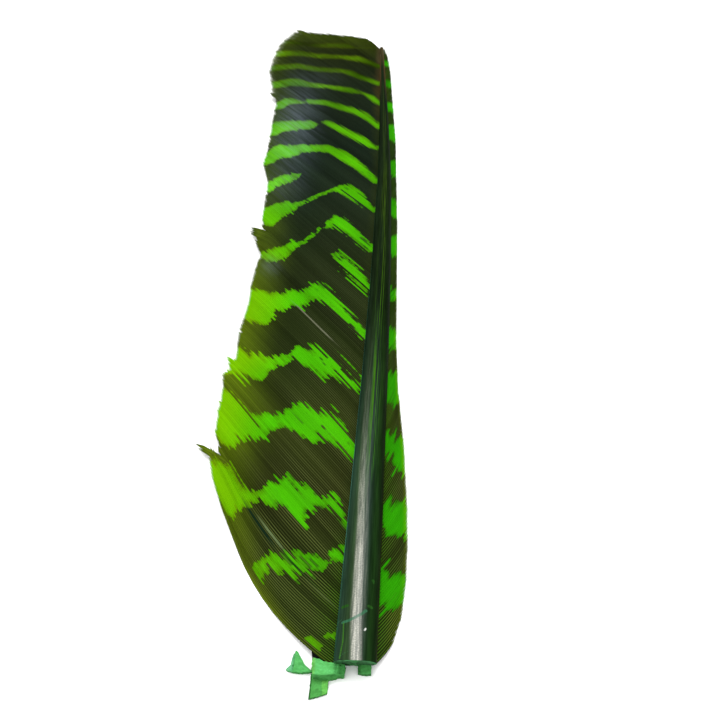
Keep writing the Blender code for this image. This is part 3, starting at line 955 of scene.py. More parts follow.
@dataclass
class Vane:
    """The barbs on one side of the shaft, each a thin closed strip with a raised line."""

    course: Course
    name: str
    side: Side
    outline: Stations
    root_angle: Stations
    edge_angle: Stations
    turn: Stations
    bars: tuple[Bar, ...]
    seed: int
    dye: Dye = Dye()
    segments: int = 21
    # How much closer a barb's rings stand at the ends of the bars, and near its own tip.
    bar_focus: float = 3.0
    tip_focus: float = 3.0
    tip_near: float = 3.0
    splits: tuple[Split, ...] = ()
    # The share of a split's fan in which the bend grows to its full size, and its run along a barb.
    bend_share: float = 0.625
    bend_run: float = 3.0
    streaks: tuple[Streak, ...] = ()
    streak_run: float = 3.0
    # Soft patches of painted sheen: where each is, how far it spreads across and along, and its strength.
    painted_sheens: tuple[tuple[float, float, float, float, float], ...] = ()
    # The distance between the barbs' roots, by distance along the shaft.
    pitch: Stations = (
        (-1, 0.55), (5, 0.58), (10, 0.62), (20, 0.71), (35, 0.75), (50, 0.77), (80, 0.78), (120, 0.74),
        (200, 0.66), (243, 0.55),
    )
    first_root: float = 0.2
    # How far past that the first barb is, as a share of a pitch, and the steps that pitches are
    # added up in.
    first_share: float = 0.3
    fine_step: float = 0.05
    # Where the roots are in the shaft, as a share of its half width.
    root_depth: float = 0.92
    locks: int = 56
    # How much the locks and the single barbs lean, in degrees, and the wave of the locks' height.
    lock_lean: float = 0.16
    barb_lean: float = 0.08
    lean_run: float = 10.0
    lock_wave: float = 0.035
    lock_run: float = 8.0
    step: float = 0.25
    longest: float = 62.0
    shortest: float = 1.2
    # How far barbs reach over each other, and the least and greatest half width of one.
    overlap: float = 1.16
    narrowest: float = 0.06
    widest: float = 0.75
    # Heights: of the raised line and the two edges over the strip, and of the strip over the surface.
    line_height: float = 0.13
    least_line: float = 0.4
    edge_heights: tuple[float, float] = (-0.02, 0.03)
    least_height: float = 0.04
    droop: float = 24.0
    floor_gap: float = 0.08
    edge_lift: float = 1.1
    edge_ramp: Point = (34.0, 16.0)
    # The bars' ends: how far neighbours share an offset, its size, and the long teeth.
    jag_width: float = 1.2
    jag: float = 0.55
    long_jag: float = 1.6
    longest_jag: float = 2.8
    long_share: float = 0.08
    # How uneven the bars' ends are, by distance along the shaft and by distance from it.
    calm: Stations = ((0, 1.0), (115, 1.0), (150, 0.6), (180, 0.35), (215, 0.22), (243, 0.2))
    streaky: Stations = ((0, 1.2), (8, 1.5), (18, 1.35), (27, 0.85), (60, 0.75))
    # Dark dashes in the bars, by distance from the shaft and by distance along it.
    dashes: Stations = ((0, 0.5), (5, 1.0), (18, 1.0), (24, 0.3), (30, 0.0), (60, 0.0))
    dashes_up: Stations = (
        (0, 0.5), (30, 0.6), (60, 1.0), (120, 1.0), (145, 0.6), (170, 0.4), (190, 0.2), (243, 0.1),
    )
    dash_fit: Point = (0.25, 0.3)
    # How much a bar grows on each side, and the thickness from which its ends are fully uneven.
    spread: float = 0.25
    full_bar: float = 5.0
    least_fit: float = 0.12
    least_calm: float = 0.3
    # The barbs' ends: how much they thin out, over what run, how uneven they are and how they fall.
    fray: Stations = ((0, 0.1), (243, 0.1))
    fray_run: float = 3.0
    fray_spread: Point = (0.5, 1.4)
    most_fray: float = 0.8
    end_jitter: Stations = ((0, 0.5), (195, 0.5), (215, 2.0), (243, 1.5))
    tip_run: Stations = ((0, 2.0), (12, 1.0), (20, 0.8), (243, 0.8))
    tip_width: float = 0.25
    tip_fall: float = 0.5
    # How far in from the narrow vane's edge a point is, as a share of its distance to the barb's end.
    inward: float = 0.3
    # Where barbs are broken off at the edge: the root, how far it spreads and how much is lost.
    nicks: tuple[Triple, ...] = ()

    def __post_init__(self) -> None:
        """Set the barbs' roots a pitch apart, and start the random draws."""
        fine = np.arange(self.first_root, self.course.length, self.fine_step)
        count = np.cumsum(self.fine_step / straight(self.pitch, fine))
        self.barbs = int(count[-1])
        self.roots = np.interp(np.arange(self.barbs) + self.first_share, count, fine)
        self.rng = np.random.default_rng(self.seed)

    def bend(self, distance: Floats) -> tuple[Floats, Floats]:
        """The extra angle of the barbs below the splits, and how much longer they are.

        Args:
            distance: distances along a barb.

        Returns:
            Angles of barbs by distances, and one length a barb.
        """
        turn = np.zeros((self.barbs, len(distance)))
        reach = np.zeros(self.barbs)
        for split in self.splits:
            share = 1 - (split.root - self.roots) / split.fan
            share = np.where((self.roots < split.root) & (share > 0), share, 0.0)
            bent = smooth_step(share / self.bend_share)[:, None] * ramp(distance, split.start, self.bend_run)
            turn += math.radians(split.bend) * bent
            reach = np.maximum(reach, split.reach * share)
        return turn, reach

    def paths(self) -> tuple[Floats, Floats]:
        """The barbs' courses seen from above.

        A barb's angle to the shaft runs evenly from its root angle to its edge
        angle, and its points are the sum of small steps at that angle. It ends
        where it first leaves the outline.

        Returns:
            Points of barbs by steps by 2, and how many steps are each barb's own.
        """
        distance = np.arange(0.0, self.longest, self.step)
        first, last, turned = (
            along(table, self.roots)[:, None] for table in (self.root_angle, self.edge_angle, self.turn)
        )
        angle = np.radians(first + (last - first) * np.clip(distance / turned, 0, 1))
        sign = self.side.value
        out = sign * self.course.half_width(self.roots) * self.root_depth
        start = np.stack([self.course.middle(self.roots) + out, self.roots], axis=-1)

        def run(angle: Floats) -> Floats:
            """Points that start at the shaft and take a step at each angle."""
            steps = np.stack([sign * np.sin(angle), np.cos(angle)], axis=-1) * self.step
            return start[:, None] + np.cumsum(steps, axis=1) - steps[:, :1]

        outside = ~inside(run(angle)[:, 1:].reshape(-1, 2), self.outline).reshape(self.barbs, -1)
        own = np.where(outside.any(axis=1), outside.argmax(axis=1) + 1, len(distance))
        turn, reach = self.bend(distance)
        for root, spread, loss in self.nicks:
            reach = reach - loss * fade(np.abs(self.roots - root), 0, spread)
        own = np.maximum(own + reach / self.step, self.shortest / self.step)
        lock = (np.arange(self.barbs) * self.locks) // self.barbs
        lean = self.rng.normal(0, self.lock_lean, self.locks)[lock]
        lean = np.radians(lean + self.rng.normal(0, self.barb_lean, self.barbs))[:, None]
        return run(angle + turn + lean * ramp(distance, 0, self.lean_run)), np.minimum(own, len(distance) - 2)

    def height(self, reach: Floats, y: Floats) -> Floats:
        """Height of the vane: from the shaft down to the surface, and up again at its edge.

        Args:
            reach: distance along each barb, barbs by points.
            y: the points' places along the feather.

        Returns:
            The heights, with the tip's curve.
        """
        join = self.course.join(self.roots)[:, None]
        if self.side is Side.WIDE:
            edge = self.edge_lift * ramp(reach, *self.edge_ramp)
            z = join * fade(reach, 0, self.droop) + self.floor_gap + edge
        else:
            z = join * (1 - self.tip_fall * np.clip(reach / reach.max(axis=1, keepdims=True), 0, 1))
        return z + self.course.lift(y)

    def build(self, finish: bpy.types.Material) -> None:
        """Build the vane's barbs, with the layers that their finish reads.

        Each barb is a row of rings along its path. A ring has three points,
        the raised line and an edge on either side of it, which reaches halfway
        to the next barb and a little over it.

        Args:
            finish: the barbs' material.
        """
        path, own = self.paths()
        own = own + self.rng.normal(0, 1, self.barbs) * straight(self.end_jitter, self.roots)
        every_step = np.broadcast_to(np.arange(path.shape[1]) * self.step, path.shape[:2])
        depth, fit = self.bar_depth(path, every_step)
        spot = np.clip(self.ring_spots(own, depth), 0, path.shape[1] - 2)
        whole = spot.astype(int)
        part = spot - whole
        barb = np.arange(self.barbs)[:, None]

        def at_rings(steps: Floats) -> Floats:
            """Values at the rings, between those of the path's steps."""
            share = part.reshape(*part.shape, *[1] * (steps.ndim - 2))
            return steps[barb, whole] * (1 - share) + steps[barb, whole + 1] * share

        tangent = np.gradient(path, axis=1)
        tangent /= np.linalg.norm(tangent, axis=-1, keepdims=True)
        towards_tip = np.stack([tangent[..., 1], -tangent[..., 0]], axis=-1) * -self.side.value
        gap = ((path[1:] - path[:-1]) * towards_tip[:-1]).sum(axis=-1)
        gap = np.clip(gap * self.overlap / 2, self.narrowest, self.widest)
        before, after = np.vstack([gap[:1], gap]), np.vstack([gap, gap[-1:]])
        plan, depth, fit, before, after, towards_tip = (
            at_rings(steps) for steps in (path, depth, fit, before, after, towards_tip)
        )
        reach = spot * self.step
        tip_gap = reach[:, -1:] - reach
        thin = self.thinning(tip_gap)

        middle = self.height(reach, plan[..., 1])
        lock = (np.arange(self.barbs) * self.locks) / self.barbs
        middle += self.lock_wave * np.sin(2 * math.pi * lock)[:, None] * ramp(reach, 0, self.lock_run)
        streaks, sink = self.streak_shares(reach)
        middle = np.maximum(middle - sink, self.course.lift(plan[..., 1]) + self.least_height)
        rings = np.empty((*plan.shape[:2], 3, 3))
        rings[..., 0, :2] = plan - towards_tip * (before * thin)[..., None]
        rings[..., 1, :2] = plan
        rings[..., 2, :2] = plan + towards_tip * (after * thin)[..., None]
        rings[..., 0, 2] = middle + self.edge_heights[0]
        rings[..., 1, 2] = middle + self.line_height * np.clip(thin, self.least_line, 1)
        rings[..., 2, 2] = middle + self.edge_heights[1]

        layers = self.colours(plan, reach, tip_gap, streaks)
        dashes = straight(self.dashes, reach) * straight(self.dashes_up, plan[..., 1])
        dashes = dashes * ramp(fit, *self.dash_fit)
        layers |= {"bar": depth, "fit": fit, "dashes": dashes, "reach": reach}
        layers["barb"] = np.broadcast_to(barb * 1.0, reach.shape)
        layers = {name: np.repeat(values[:, :, None], 3, axis=2) for name, values in layers.items()}
        layers["across"] = np.broadcast_to([-1.0, 0.0, 1.0], rings.shape[:3]).copy()
        piece = new_piece(self.name, rings, tube_faces(*rings.shape[:3]), layers, finish, 25.0)
        put_in_place(piece)

    def thinning(self, tip_gap: Floats) -> Floats:
        """How a barb narrows to its end, and frays before it.

        Args:
            tip_gap: distances from each barb's end.

        Returns:
            Its width there as a share of its full width.
        """
        thin = np.clip(tip_gap / straight(self.tip_run, self.roots)[:, None], self.tip_width, 1)
        uneven = self.rng.uniform(*self.fray_spread, (self.barbs, 1))
        near_end = smooth_step(1 - tip_gap / self.fray_run)
        frayed = straight(self.fray, self.roots)[:, None] * uneven * near_end
        return thin * (1 - np.clip(frayed, 0, self.most_fray))

    def ring_spots(self, own: Floats, depth: Floats) -> Floats:
        """Where each barb's rings stand: closer together at the bars' ends and near its tip.

        Every step of a path has a weight, which is more at those places. The
        weights are added up along the path, and the rings stand at equal
        shares of the sum.

        Args:
            own: how many steps of its path each barb has.
            depth: how far each step is inside a bright bar.

        Returns:
            The rings' places in steps, barbs by rings.
        """
        steps = np.arange(depth.shape[1])
        tip_gap = np.clip((own[:, None] - steps) * self.step, 0, None)
        weight = 1 + self.bar_focus * np.exp(-(depth**2)) + self.tip_focus * np.exp(-tip_gap / self.tip_near)
        total = np.cumsum(weight, axis=1)
        share = np.linspace(0, 1, self.segments + 1)
        spots = []
        for row, end in zip(total, own):
            last = np.interp(end, steps, row)
            spots.append(np.interp(row[0] + share * (last - row[0]), row, steps))
        return np.stack(spots)

    def streak_shares(self, reach: Floats) -> tuple[list[Floats], Floats]:
        """How much of each streak every point has, and how far the streaks sink it.

        Args:
            reach: the points' distance from the shaft along the barb.

        Returns:
            One array of shares a streak, and the depths.
        """
        shares, sink = [], np.zeros_like(reach)
        for streak in self.streaks:
            nearest = self.roots[np.abs(self.roots - streak.root).argmin()]
            share = fade(np.abs(self.roots[:, None] - nearest), 0, streak.spread)
            share = share * ramp(reach, streak.first, self.streak_run)
            share = share * ramp(-reach, -streak.last, self.streak_run)
            shares.append(share * streak.strength)
            sink += share * streak.sink
        return shares, sink

    def ragged_edge(self) -> Floats:
        """How far a bar's end is moved on each barb.

        It is the sum of an amount that neighbours share, one of the barb's own,
        and now and then a long tooth one way or the other."""
        shared = wavy(self.rng, self.barbs, self.jag_width) * self.jag
        own = self.rng.normal(0, self.jag, self.barbs)
        long, short = np.minimum(self.rng.exponential(self.long_jag, (2, self.barbs)), self.longest_jag)
        long = long * (self.rng.random(self.barbs) < self.long_share)
        return (shared + own + long - short * (self.rng.random(self.barbs) < self.long_share))[:, None]

    def bar_depth(self, plan: Floats, reach: Floats) -> tuple[Floats, Floats]:
        """How far each point is inside the nearest bright bar, with ragged ends barb by barb.

        The ends are less ragged where the bar is thin, so that it holds
        together there.

        Args:
            plan: the points seen from above, barbs by points by 2.
            reach: their distance from the shaft along the barb.

        Returns:
            The depths, and how uneven the bars' ends may be at each point.
        """
        x, y = plan[..., 0], plan[..., 1]
        depth = np.full(y.shape, NOT_BARRED)
        fit = np.zeros(y.shape)
        calm = straight(self.calm, y)
        streaky = calm * straight(self.streaky, reach)
        for bar in self.bars:
            low, high = bar.edges(x)
            hold = np.clip((high - low) / self.full_bar, self.least_fit, 1.0)
            wider = self.spread * np.clip(high - low, 0, 1)
            lower, upper = (self.ragged_edge() * streaky * hold + wider for _ in range(2))
            inner = np.minimum(y - low + lower, high - y + upper)
            fit = np.where(inner > depth, hold, fit)
            depth = np.maximum(depth, inner)
        return depth, fit * np.maximum(calm, self.least_calm)

    def edge_gap(self, plan: Floats, tip_gap: Floats) -> Floats:
        """How far in from the vane's edge its points count as being, by its outline or its barbs."""
        if self.side is Side.WIDE:
            return off_edge(plan, self.outline[1:-2])
        return tip_gap * self.inward

    def from_barb_to_barb(self, shared: float, width: float, own: float, least: float, most: float) -> Floats:
        """Random factors about 1, one a barb.

        Args:
            shared: the size of what neighbours share.
            width: how many neighbours share it.
            own: the size of what is a barb's own.
            least: the least factor.
            most: the greatest factor.

        Returns:
            Barbs by 1.
        """
        factor = 1 + shared * wavy(self.rng, self.barbs, width) + own * self.rng.normal(size=self.barbs)
        return np.clip(factor, least, most)[:, None]

    def colours(
        self, plan: Floats, reach: Floats, tip_gap: Floats, streaks: list[Floats]
    ) -> dict[str, Floats]:
        """The tints that the finish reads, worked out for each point of each barb.

        Args:
            plan: the points seen from above, barbs by points by 2.
            reach: their distance from the shaft along the barb.
            tip_gap: their distance from the barb's end.
            streaks: how much of each streak they have, some of them painted shadow in a crease.

        Returns:
            The layers by name.
        """
        dye, rng, x, y = self.dye, self.rng, plan[..., 0], plan[..., 1]
        gap = self.edge_gap(plan, tip_gap)
        at_edge = fade(gap, 0, straight(dye.olive_run, y))
        olive = (at_edge * straight(dye.olive_share, y)) ** dye.olive_power
        dark = mixed(tinted(dye.dark, y), dye.olive, olive)
        inner = fade(reach, *dye.inner_reach) * ramp(y, *dye.inner_ramp)
        dark = mixed(dark, dye.inner, inner * dye.inner_share)
        bright = mixed(tinted(dye.bright, y), dye.plain, np.full(y.shape, dye.plain_share))
        yellow = fade(gap, 0, dye.yellow_run) * straight(dye.yellow_share, y)
        bright = mixed(bright, dye.yellow, yellow * dye.yellow_strength)
        at_root = fade(reach, 0, dye.by_shaft_run) * straight(dye.by_shaft_share, y)
        dark = mixed(dark, tinted(dye.by_shaft, y), at_root * dye.by_shaft_strength)
        dark = mixed(dark, dye.rim, fade(gap, 0, dye.rim_run) * straight(dye.rim_share, y))

        pale = fade(tip_gap, 0, dye.bleach_run) * ramp(y, *dye.bleach_ramp) * ramp(-x, *dye.bleach_corner)
        pale = pale * rng.uniform(0.4, 1.0, (self.barbs, 1))
        dark, bright = (mixed(tint, end, pale) for tint, end in zip((dark, bright), dye.bleached))
        tone = self.from_barb_to_barb(*dye.tone)[..., None]
        waves = rng.normal(0, dye.patch_turns, (dye.patch_waves, 3))
        patches = sum(np.sin(plan @ wave[:2] + 9 * wave[2]) for wave in waves) / dye.patch_waves
        bright = bright * (1 + dye.patch_depth * patches * straight(dye.patchy, y))[..., None]
        dark, bright = dark * tone, bright * (1 + dye.bright_tone * (tone - 1))

        greener = fade(reach, 0, dye.green_reach) * fade(y, dye.green_from, dye.green_run)
        line_tint = mixed(tinted(dye.line, y), dye.line_green, greener)
        first = dye.first_share * ramp(reach, *dye.first_reach) * fade(y, *dye.first_ramp)
        line_tint = mixed(line_tint, dye.line_first, first)
        line_tint = mixed(line_tint, dye.line_olive, dye.line_olive_share * at_edge)
        uneven = self.from_barb_to_barb(*dye.line_tone)
        faint = ramp(reach, *dye.faint_reach) * ramp(y, *dye.faint_ramp)
        strength = dye.line_strength - dye.faint_share * faint
        # Streaks: other tints on a few barbs, painted shadow along the sunk crease among them.
        for streak, amount in zip(self.streaks, streaks):
            dark, bright, line_tint = (mixed(tint, streak.tint, amount) for tint in (dark, bright, line_tint))
        # Painted sheen: soft bluish patches, added over the barbs' colour by the finish.
        painted_sheen = np.zeros(y.shape)
        for middle_x, middle_y, half, length, bright_by in self.painted_sheens:
            painted_sheen += bright_by * bell(x, middle_x, half) * bell(y, middle_y, length)
        return {
            "dark": dark,
            "bright": bright,
            "bright_end": bright * np.array(dye.bright_end),
            "line": np.clip(strength * uneven * straight(dye.line_share, y), 0, 1),
            "line_tint": line_tint,
            "seam": straight(dye.seam, y),
            "soft": straight(dye.soft, y),
            "painted_sheen": painted_sheen,
            "painted_sheen_tint": np.broadcast_to(dye.painted_sheen, dark.shape).copy(),
        }


@dataclass
class WideVane(Vane):
    """The wide vane, which droops to the surface and has the split edge."""

    name: str = "wide_vane"
    side: Side = Side.WIDE
    seed: int = 11
    outline: Stations = (
        (0.0, -1.5), (-5.5, -1.5), (-14.0, 6.5), (-20.0, 15.0), (-25.0, 23.0), (-28.3, 30.5),
        (-30.6, 35.6), (-32.8, 41.5), (-34.4, 46.0), (-35.6, 51.0), (-35.4, 71.0), (-35.8, 76.0),
        (-35.2, 79.5), (-33.3, 83.4), (-34.1, 91.0), (-32.9, 104.0), (-32.6, 119.0),
        (-31.6, 125.2), (-34.0, 131.0), (-32.8, 139.0), (-33.4, 152.0), (-33.3, 160.5),
        (-36.1, 170.0), (-35.1, 179.0), (-35.3, 201.0), (-34.9, 205.5), (-35.3, 208.3),
        (-37.8, 211.6), (-36.8, 212.2), (-37.2, 214.0), (-39.3, 225.0), (-38.9, 234.0), (-37.5, 242.4),
        (-33.4, 251.6),
        (-31.4, 253.3), (-21.0, 253.2), (-13.0, 252.1), (-6.5, 250.2), (-1.9, 246.7),
        (0.5, 244.0), (5.0, 244.0), (5.0, -1.5),
    )
    # The barbs' angle to the shaft at their roots and at the edge, in degrees, by distance along the
    # shaft, and over what distance it turns from the one to the other.
    root_angle: Stations = (
        (-1.3, 54.5), (3, 52), (7, 50), (12, 47.5), (18, 41), (30, 37.4), (45, 34.8), (60, 32.5), (90, 36),
        (120, 36.5), (170, 37), (211, 35), (243, 31),
    )
    edge_angle: Stations = (
        (-1.3, 24), (3, 28), (10, 29), (20, 37), (30, 38.5), (60, 42.5), (100, 39.5), (150, 44), (188, 48),
        (243, 52),
    )
    turn: Stations = ((0, 36), (12, 40), (60, 45), (243, 45))
    first_root: float = -1.0
    splits: tuple[Split, ...] = (
        Split(13.4, 44.0, 26.0, 4.3, 3.0),
        Split(22.2, 49.8, 6.0, 0.3, 1.4),
        Split(24.3, 50.0, 6.0, 0.3, 1.5),
        Split(27.1, 50.2, 9.0, 0.5, 1.8),
        Split(36.1, 51.5, 10.0, 0.5, 4.0),
        Split(43.0, 48.5, 8.0, 3.0, 4.5),
        Split(96.7, 46.2, 25.0, 2.0, 6.5),
    )
    # The first and the third are painted shadow along the sunk crease between barbs.
    streaks: tuple[Streak, ...] = (
        Streak(11.5, 1.0, 20.5, 36.0, (0.008, 0.026, 0.012), 0.98, 0.12),
        Streak(12.5, 0.45, 18.0, 31.0, (0.155, 0.21, 0.085), 0.95),
        Streak(11.9, 0.5, 9.0, 20.0, (0.008, 0.045, 0.006), 0.85, 0.05),
        Streak(11.6, 0.5, 2.5, 10.0, (0.12, 0.16, 0.05), 0.6),
        Streak(79.0, 0.4, 13.0, 33.0, (0.17, 0.18, 0.11), 0.95),
        Streak(-0.7, 0.6, 31.0, 38.0, (0.20, 0.23, 0.13), 0.7),
    )
    # Where the painted sheen lies, towards the tip.
    painted_sheens: tuple[tuple[float, float, float, float, float], ...] = (
        (-27.5, 194.0, 6.0, 24.0, 1.0),
        (-28.0, 160.0, 5.2, 9.0, 0.35),
        (-28.6, 120.0, 2.5, 3.5, 0.5),
        (-19.0, 224.0, 5.0, 4.0, 0.2),
    )
    nicks: tuple[Triple, ...] = ((13.5, 3.5, 3.4), (10.9, 1.3, 2.8), (52.9, 0.4, 1.2), (112.0, 0.5, 1.0))
    fray: Stations = (
        (0, 0.05), (8, 0.1), (13.4, 0.3), (13.5, 0.0), (30, 0.05), (36, 0.2), (43, 0.3), (46, 0.1),
        (90, 0.1), (97, 0.4), (100, 0.1),
        (205, 0.2), (225, 0.7), (243, 0.5),
    )
    bars: tuple[Bar, ...] = (
        Bar(((-27.6, 243.5, 245.5), (-17.3, 243.7, 246.5), (-12.2, 243.3, 246.2), (-9.6, 243.3, 243.3))),
        Bar((
            (-37.9, 234.8, 238.5), (-29.7, 236.6, 239.6), (-14.4, 236.4, 238.3), (-7.8, 234.3, 237.8),
            (-1.1, 229.7, 232.4),
        )),
        Bar((
            (-38.5, 225.6, 229.2), (-29.0, 228.1, 231.2), (-13.5, 227.3, 229.3), (-9.9, 224.9, 228.1),
            (-0.8, 218.8, 221.2),
        )),
        Bar((
            (-38.2, 214.2, 218.6), (-29.7, 216.9, 221.4), (-18.9, 217.7, 219.2), (-9.4, 213.9, 217.2),
            (-6.0, 213.9, 214.4), (-1.8, 207.8, 211.8), (0.2, 206.1, 208.6),
        )),
        Bar((
            (-34.6, 201.6, 206.0), (-32.4, 202.1, 208.2), (-30.2, 205.3, 209.0), (-25.6, 207.2, 207.5),
            (-24.5, 207.5, 209.7), (-18.2, 206.8, 209.5), (-9.4, 202.0, 205.4), (-3.6, 196.4, 201.2),
            (-0.2, 191.7, 195.3),
        )),
        Bar((
            (-34.9, 186.0, 193.8), (-32.9, 186.4, 194.3), (-30.3, 189.2, 194.8), (-23.0, 191.9, 196.6),
            (-21.2, 192.5, 196.0), (-19.8, 195.0, 194.5), (-18.9, 196.2, 196.5), (-17.0, 194.0, 197.4),
            (-11.7, 189.3, 193.7), (-3.6, 181.1, 186.2), (-0.9, 179.9, 181.7),
        )),
        Bar((
            (-35.6, 169.3, 174.7), (-34.0, 169.6, 178.7), (-31.6, 171.9, 180.6), (-26.4, 175.3, 181.2),
            (-23.8, 178.1, 182.8), (-21.2, 179.2, 182.9), (-15.7, 178.6, 182.6), (-10.0, 173.0, 179.1),
            (-7.2, 170.0, 175.6), (-0.6, 161.1, 165.6), (0.0, 161.1, 163.0),
        )),
        Bar((
            (-33.5, 154.1, 160.0), (-32.0, 154.6, 161.2), (-30.1, 157.9, 162.9), (-25.2, 161.8, 165.8),
            (-22.6, 166.8, 166.2),
        )),
        Bar((
            (-33.0, 140.5, 145.8), (-31.7, 138.6, 147.2), (-30.0, 137.7, 149.1), (-28.8, 139.0, 149.8),
            (-27.4, 142.1, 150.3), (-25.9, 144.3, 150.7), (-24.4, 146.1, 150.8), (-22.1, 149.9, 151.5),
            (-19.4, 152.2, 154.2), (-15.7, 155.7, 157.0), (-13.0, 157.0, 158.8), (-10.8, 156.5, 160.1),
            (-8.8, 154.5, 160.5), (-7.0, 152.3, 159.2), (-4.7, 150.0, 156.6), (-3.2, 148.2, 154.1),
            (-0.6, 145.8, 148.1),
        )),
        Bar((
            (-31.7, 123.8, 125.5), (-30.5, 122.7, 126.8), (-28.6, 121.4, 127.6), (-27.0, 122.4, 128.3),
            (-25.1, 124.8, 130.0), (-23.9, 125.8, 131.9), (-22.7, 128.0, 133.0), (-21.9, 129.6, 131.2),
            (-20.0, 131.2, 133.2), (-18.5, 133.2, 135.5), (-16.2, 137.2, 139.1), (-15.2, 139.0, 138.6),
            (-14.5, 139.8, 141.8), (-12.1, 139.5, 144.1), (-10.4, 138.6, 143.5), (-9.0, 137.3, 144.3),
            (-7.6, 135.7, 142.2), (-6.2, 133.8, 140.1), (-4.5, 131.3, 137.4), (-2.1, 128.2, 132.3),
            (-1.0, 127.0, 130.0),
        )),
        Bar((
            (-12.4, 128.0, 127.0), (-9.6, 122.1, 127.3), (-8.4, 120.4, 125.9), (-3.0, 112.3, 118.2),
            (-0.5, 109.5, 112.9),
        )),
        Bar((
            (-33.5, 97.9, 110.1), (-31.5, 96.6, 109.8), (-29.1, 95.9, 110.2), (-27.7, 95.9, 109.3),
            (-26.8, 96.4, 109.1), (-25.9, 97.4, 108.7), (-25.3, 102.6, 108.7), (-23.7, 102.3, 108.8),
            (-22.5, 102.6, 109.6), (-21.6, 104.8, 110.8), (-18.2, 105.6, 111.5), (-16.2, 106.6, 113.6),
            (-14.6, 106.3, 115.2), (-13.0, 105.3, 115.1), (-11.2, 104.2, 113.3), (-8.0, 99.8, 107.3),
            (-4.9, 95.1, 101.8), (-2.9, 92.1, 98.1), (-1.8, 90.4, 95.4),
        )),
        Bar((
            (-38.0, 77.2, 86.0), (-35.2, 77.5, 85.0), (-33.4, 78.0, 86.9), (-31.7, 77.0, 85.4),
            (-30.2, 76.4, 83.4), (-28.7, 76.1, 84.4), (-27.2, 76.0, 84.5), (-26.4, 76.2, 83.2),
            (-24.3, 79.7, 84.9), (-23.0, 81.5, 85.0), (-21.2, 81.6, 85.3), (-19.8, 84.0, 86.8),
            (-18.5, 84.3, 88.6), (-16.6, 83.1, 89.1), (-14.9, 82.7, 88.6), (-12.8, 80.6, 87.6),
            (-10.8, 78.4, 86.9), (-8.5, 78.2, 85.3), (-6.0, 75.5, 82.2), (-4.3, 73.8, 79.8),
            (-2.4, 72.3, 76.8),
        )),
        Bar((
            (-36.7, 57.9, 74.2), (-35.2, 57.4, 73.1), (-33.4, 54.5, 71.7), (-31.3, 54.0, 69.4),
            (-27.4, 56.3, 65.2), (-25.4, 57.1, 64.3), (-20.9, 60.6, 65.5), (-16.0, 59.0, 69.3),
            (-12.1, 56.5, 66.7), (-8.8, 58.3, 65.8), (-5.2, 55.1, 61.9), (-2.7, 51.5, 55.8),
        )),
        Bar((
            (-36.5, 46.0, 50.2), (-34.7, 43.0, 49.8), (-32.8, 40.6, 48.6), (-31.7, 38.6, 47.9),
            (-30.6, 36.9, 47.4), (-29.8, 36.0, 46.9), (-29.1, 35.5, 45.0), (-27.7, 35.4, 42.6),
            (-26.9, 35.8, 41.7), (-25.9, 37.3, 41.3), (-24.2, 38.2, 41.6), (-22.5, 38.7, 42.2),
            (-21.9, 38.8, 44.1), (-20.9, 38.8, 45.2), (-19.4, 38.6, 44.9), (-17.2, 39.0, 46.8),
            (-16.2, 38.5, 45.2), (-14.9, 37.1, 43.5), (-13.4, 36.1, 42.5), (-12.0, 36.4, 41.8),
            (-10.5, 37.6, 40.9), (-9.1, 37.6, 39.9), (-7.8, 37.4, 40.4), (-6.9, 36.9, 42.5),
            (-5.8, 35.6, 41.7),
            (-4.9, 34.6, 40.0), (-4.1, 32.8, 36.8), (-3.1, 30.6, 33.0),
        )),
        Bar((
            (-22.9, 22.8, 22.0), (-22.1, 21.6, 23.5), (-21.4, 20.7, 24.0), (-19.8, 20.6, 24.4),
            (-17.9, 21.1, 24.8), (-17.0, 20.9, 25.8), (-14.8, 20.0, 26.0), (-12.9, 19.0, 24.8),
            (-11.6, 19.4, 24.2), (-10.4, 19.5, 25.1), (-8.1, 20.5, 24.0), (-6.9, 21.9, 23.0),
            (-6.5, 22.8, 25.0), (-5.3, 23.5, 27.0), (-3.4, 23.4, 26.9),
        )),
        Bar(((-10.6, 5.6, 5.0), (-9.0, 4.2, 6.0), (-6.9, 3.0, 4.2), (-5.8, 4.7, 6.2), (-4.2, 5.9, 7.0))),
    )


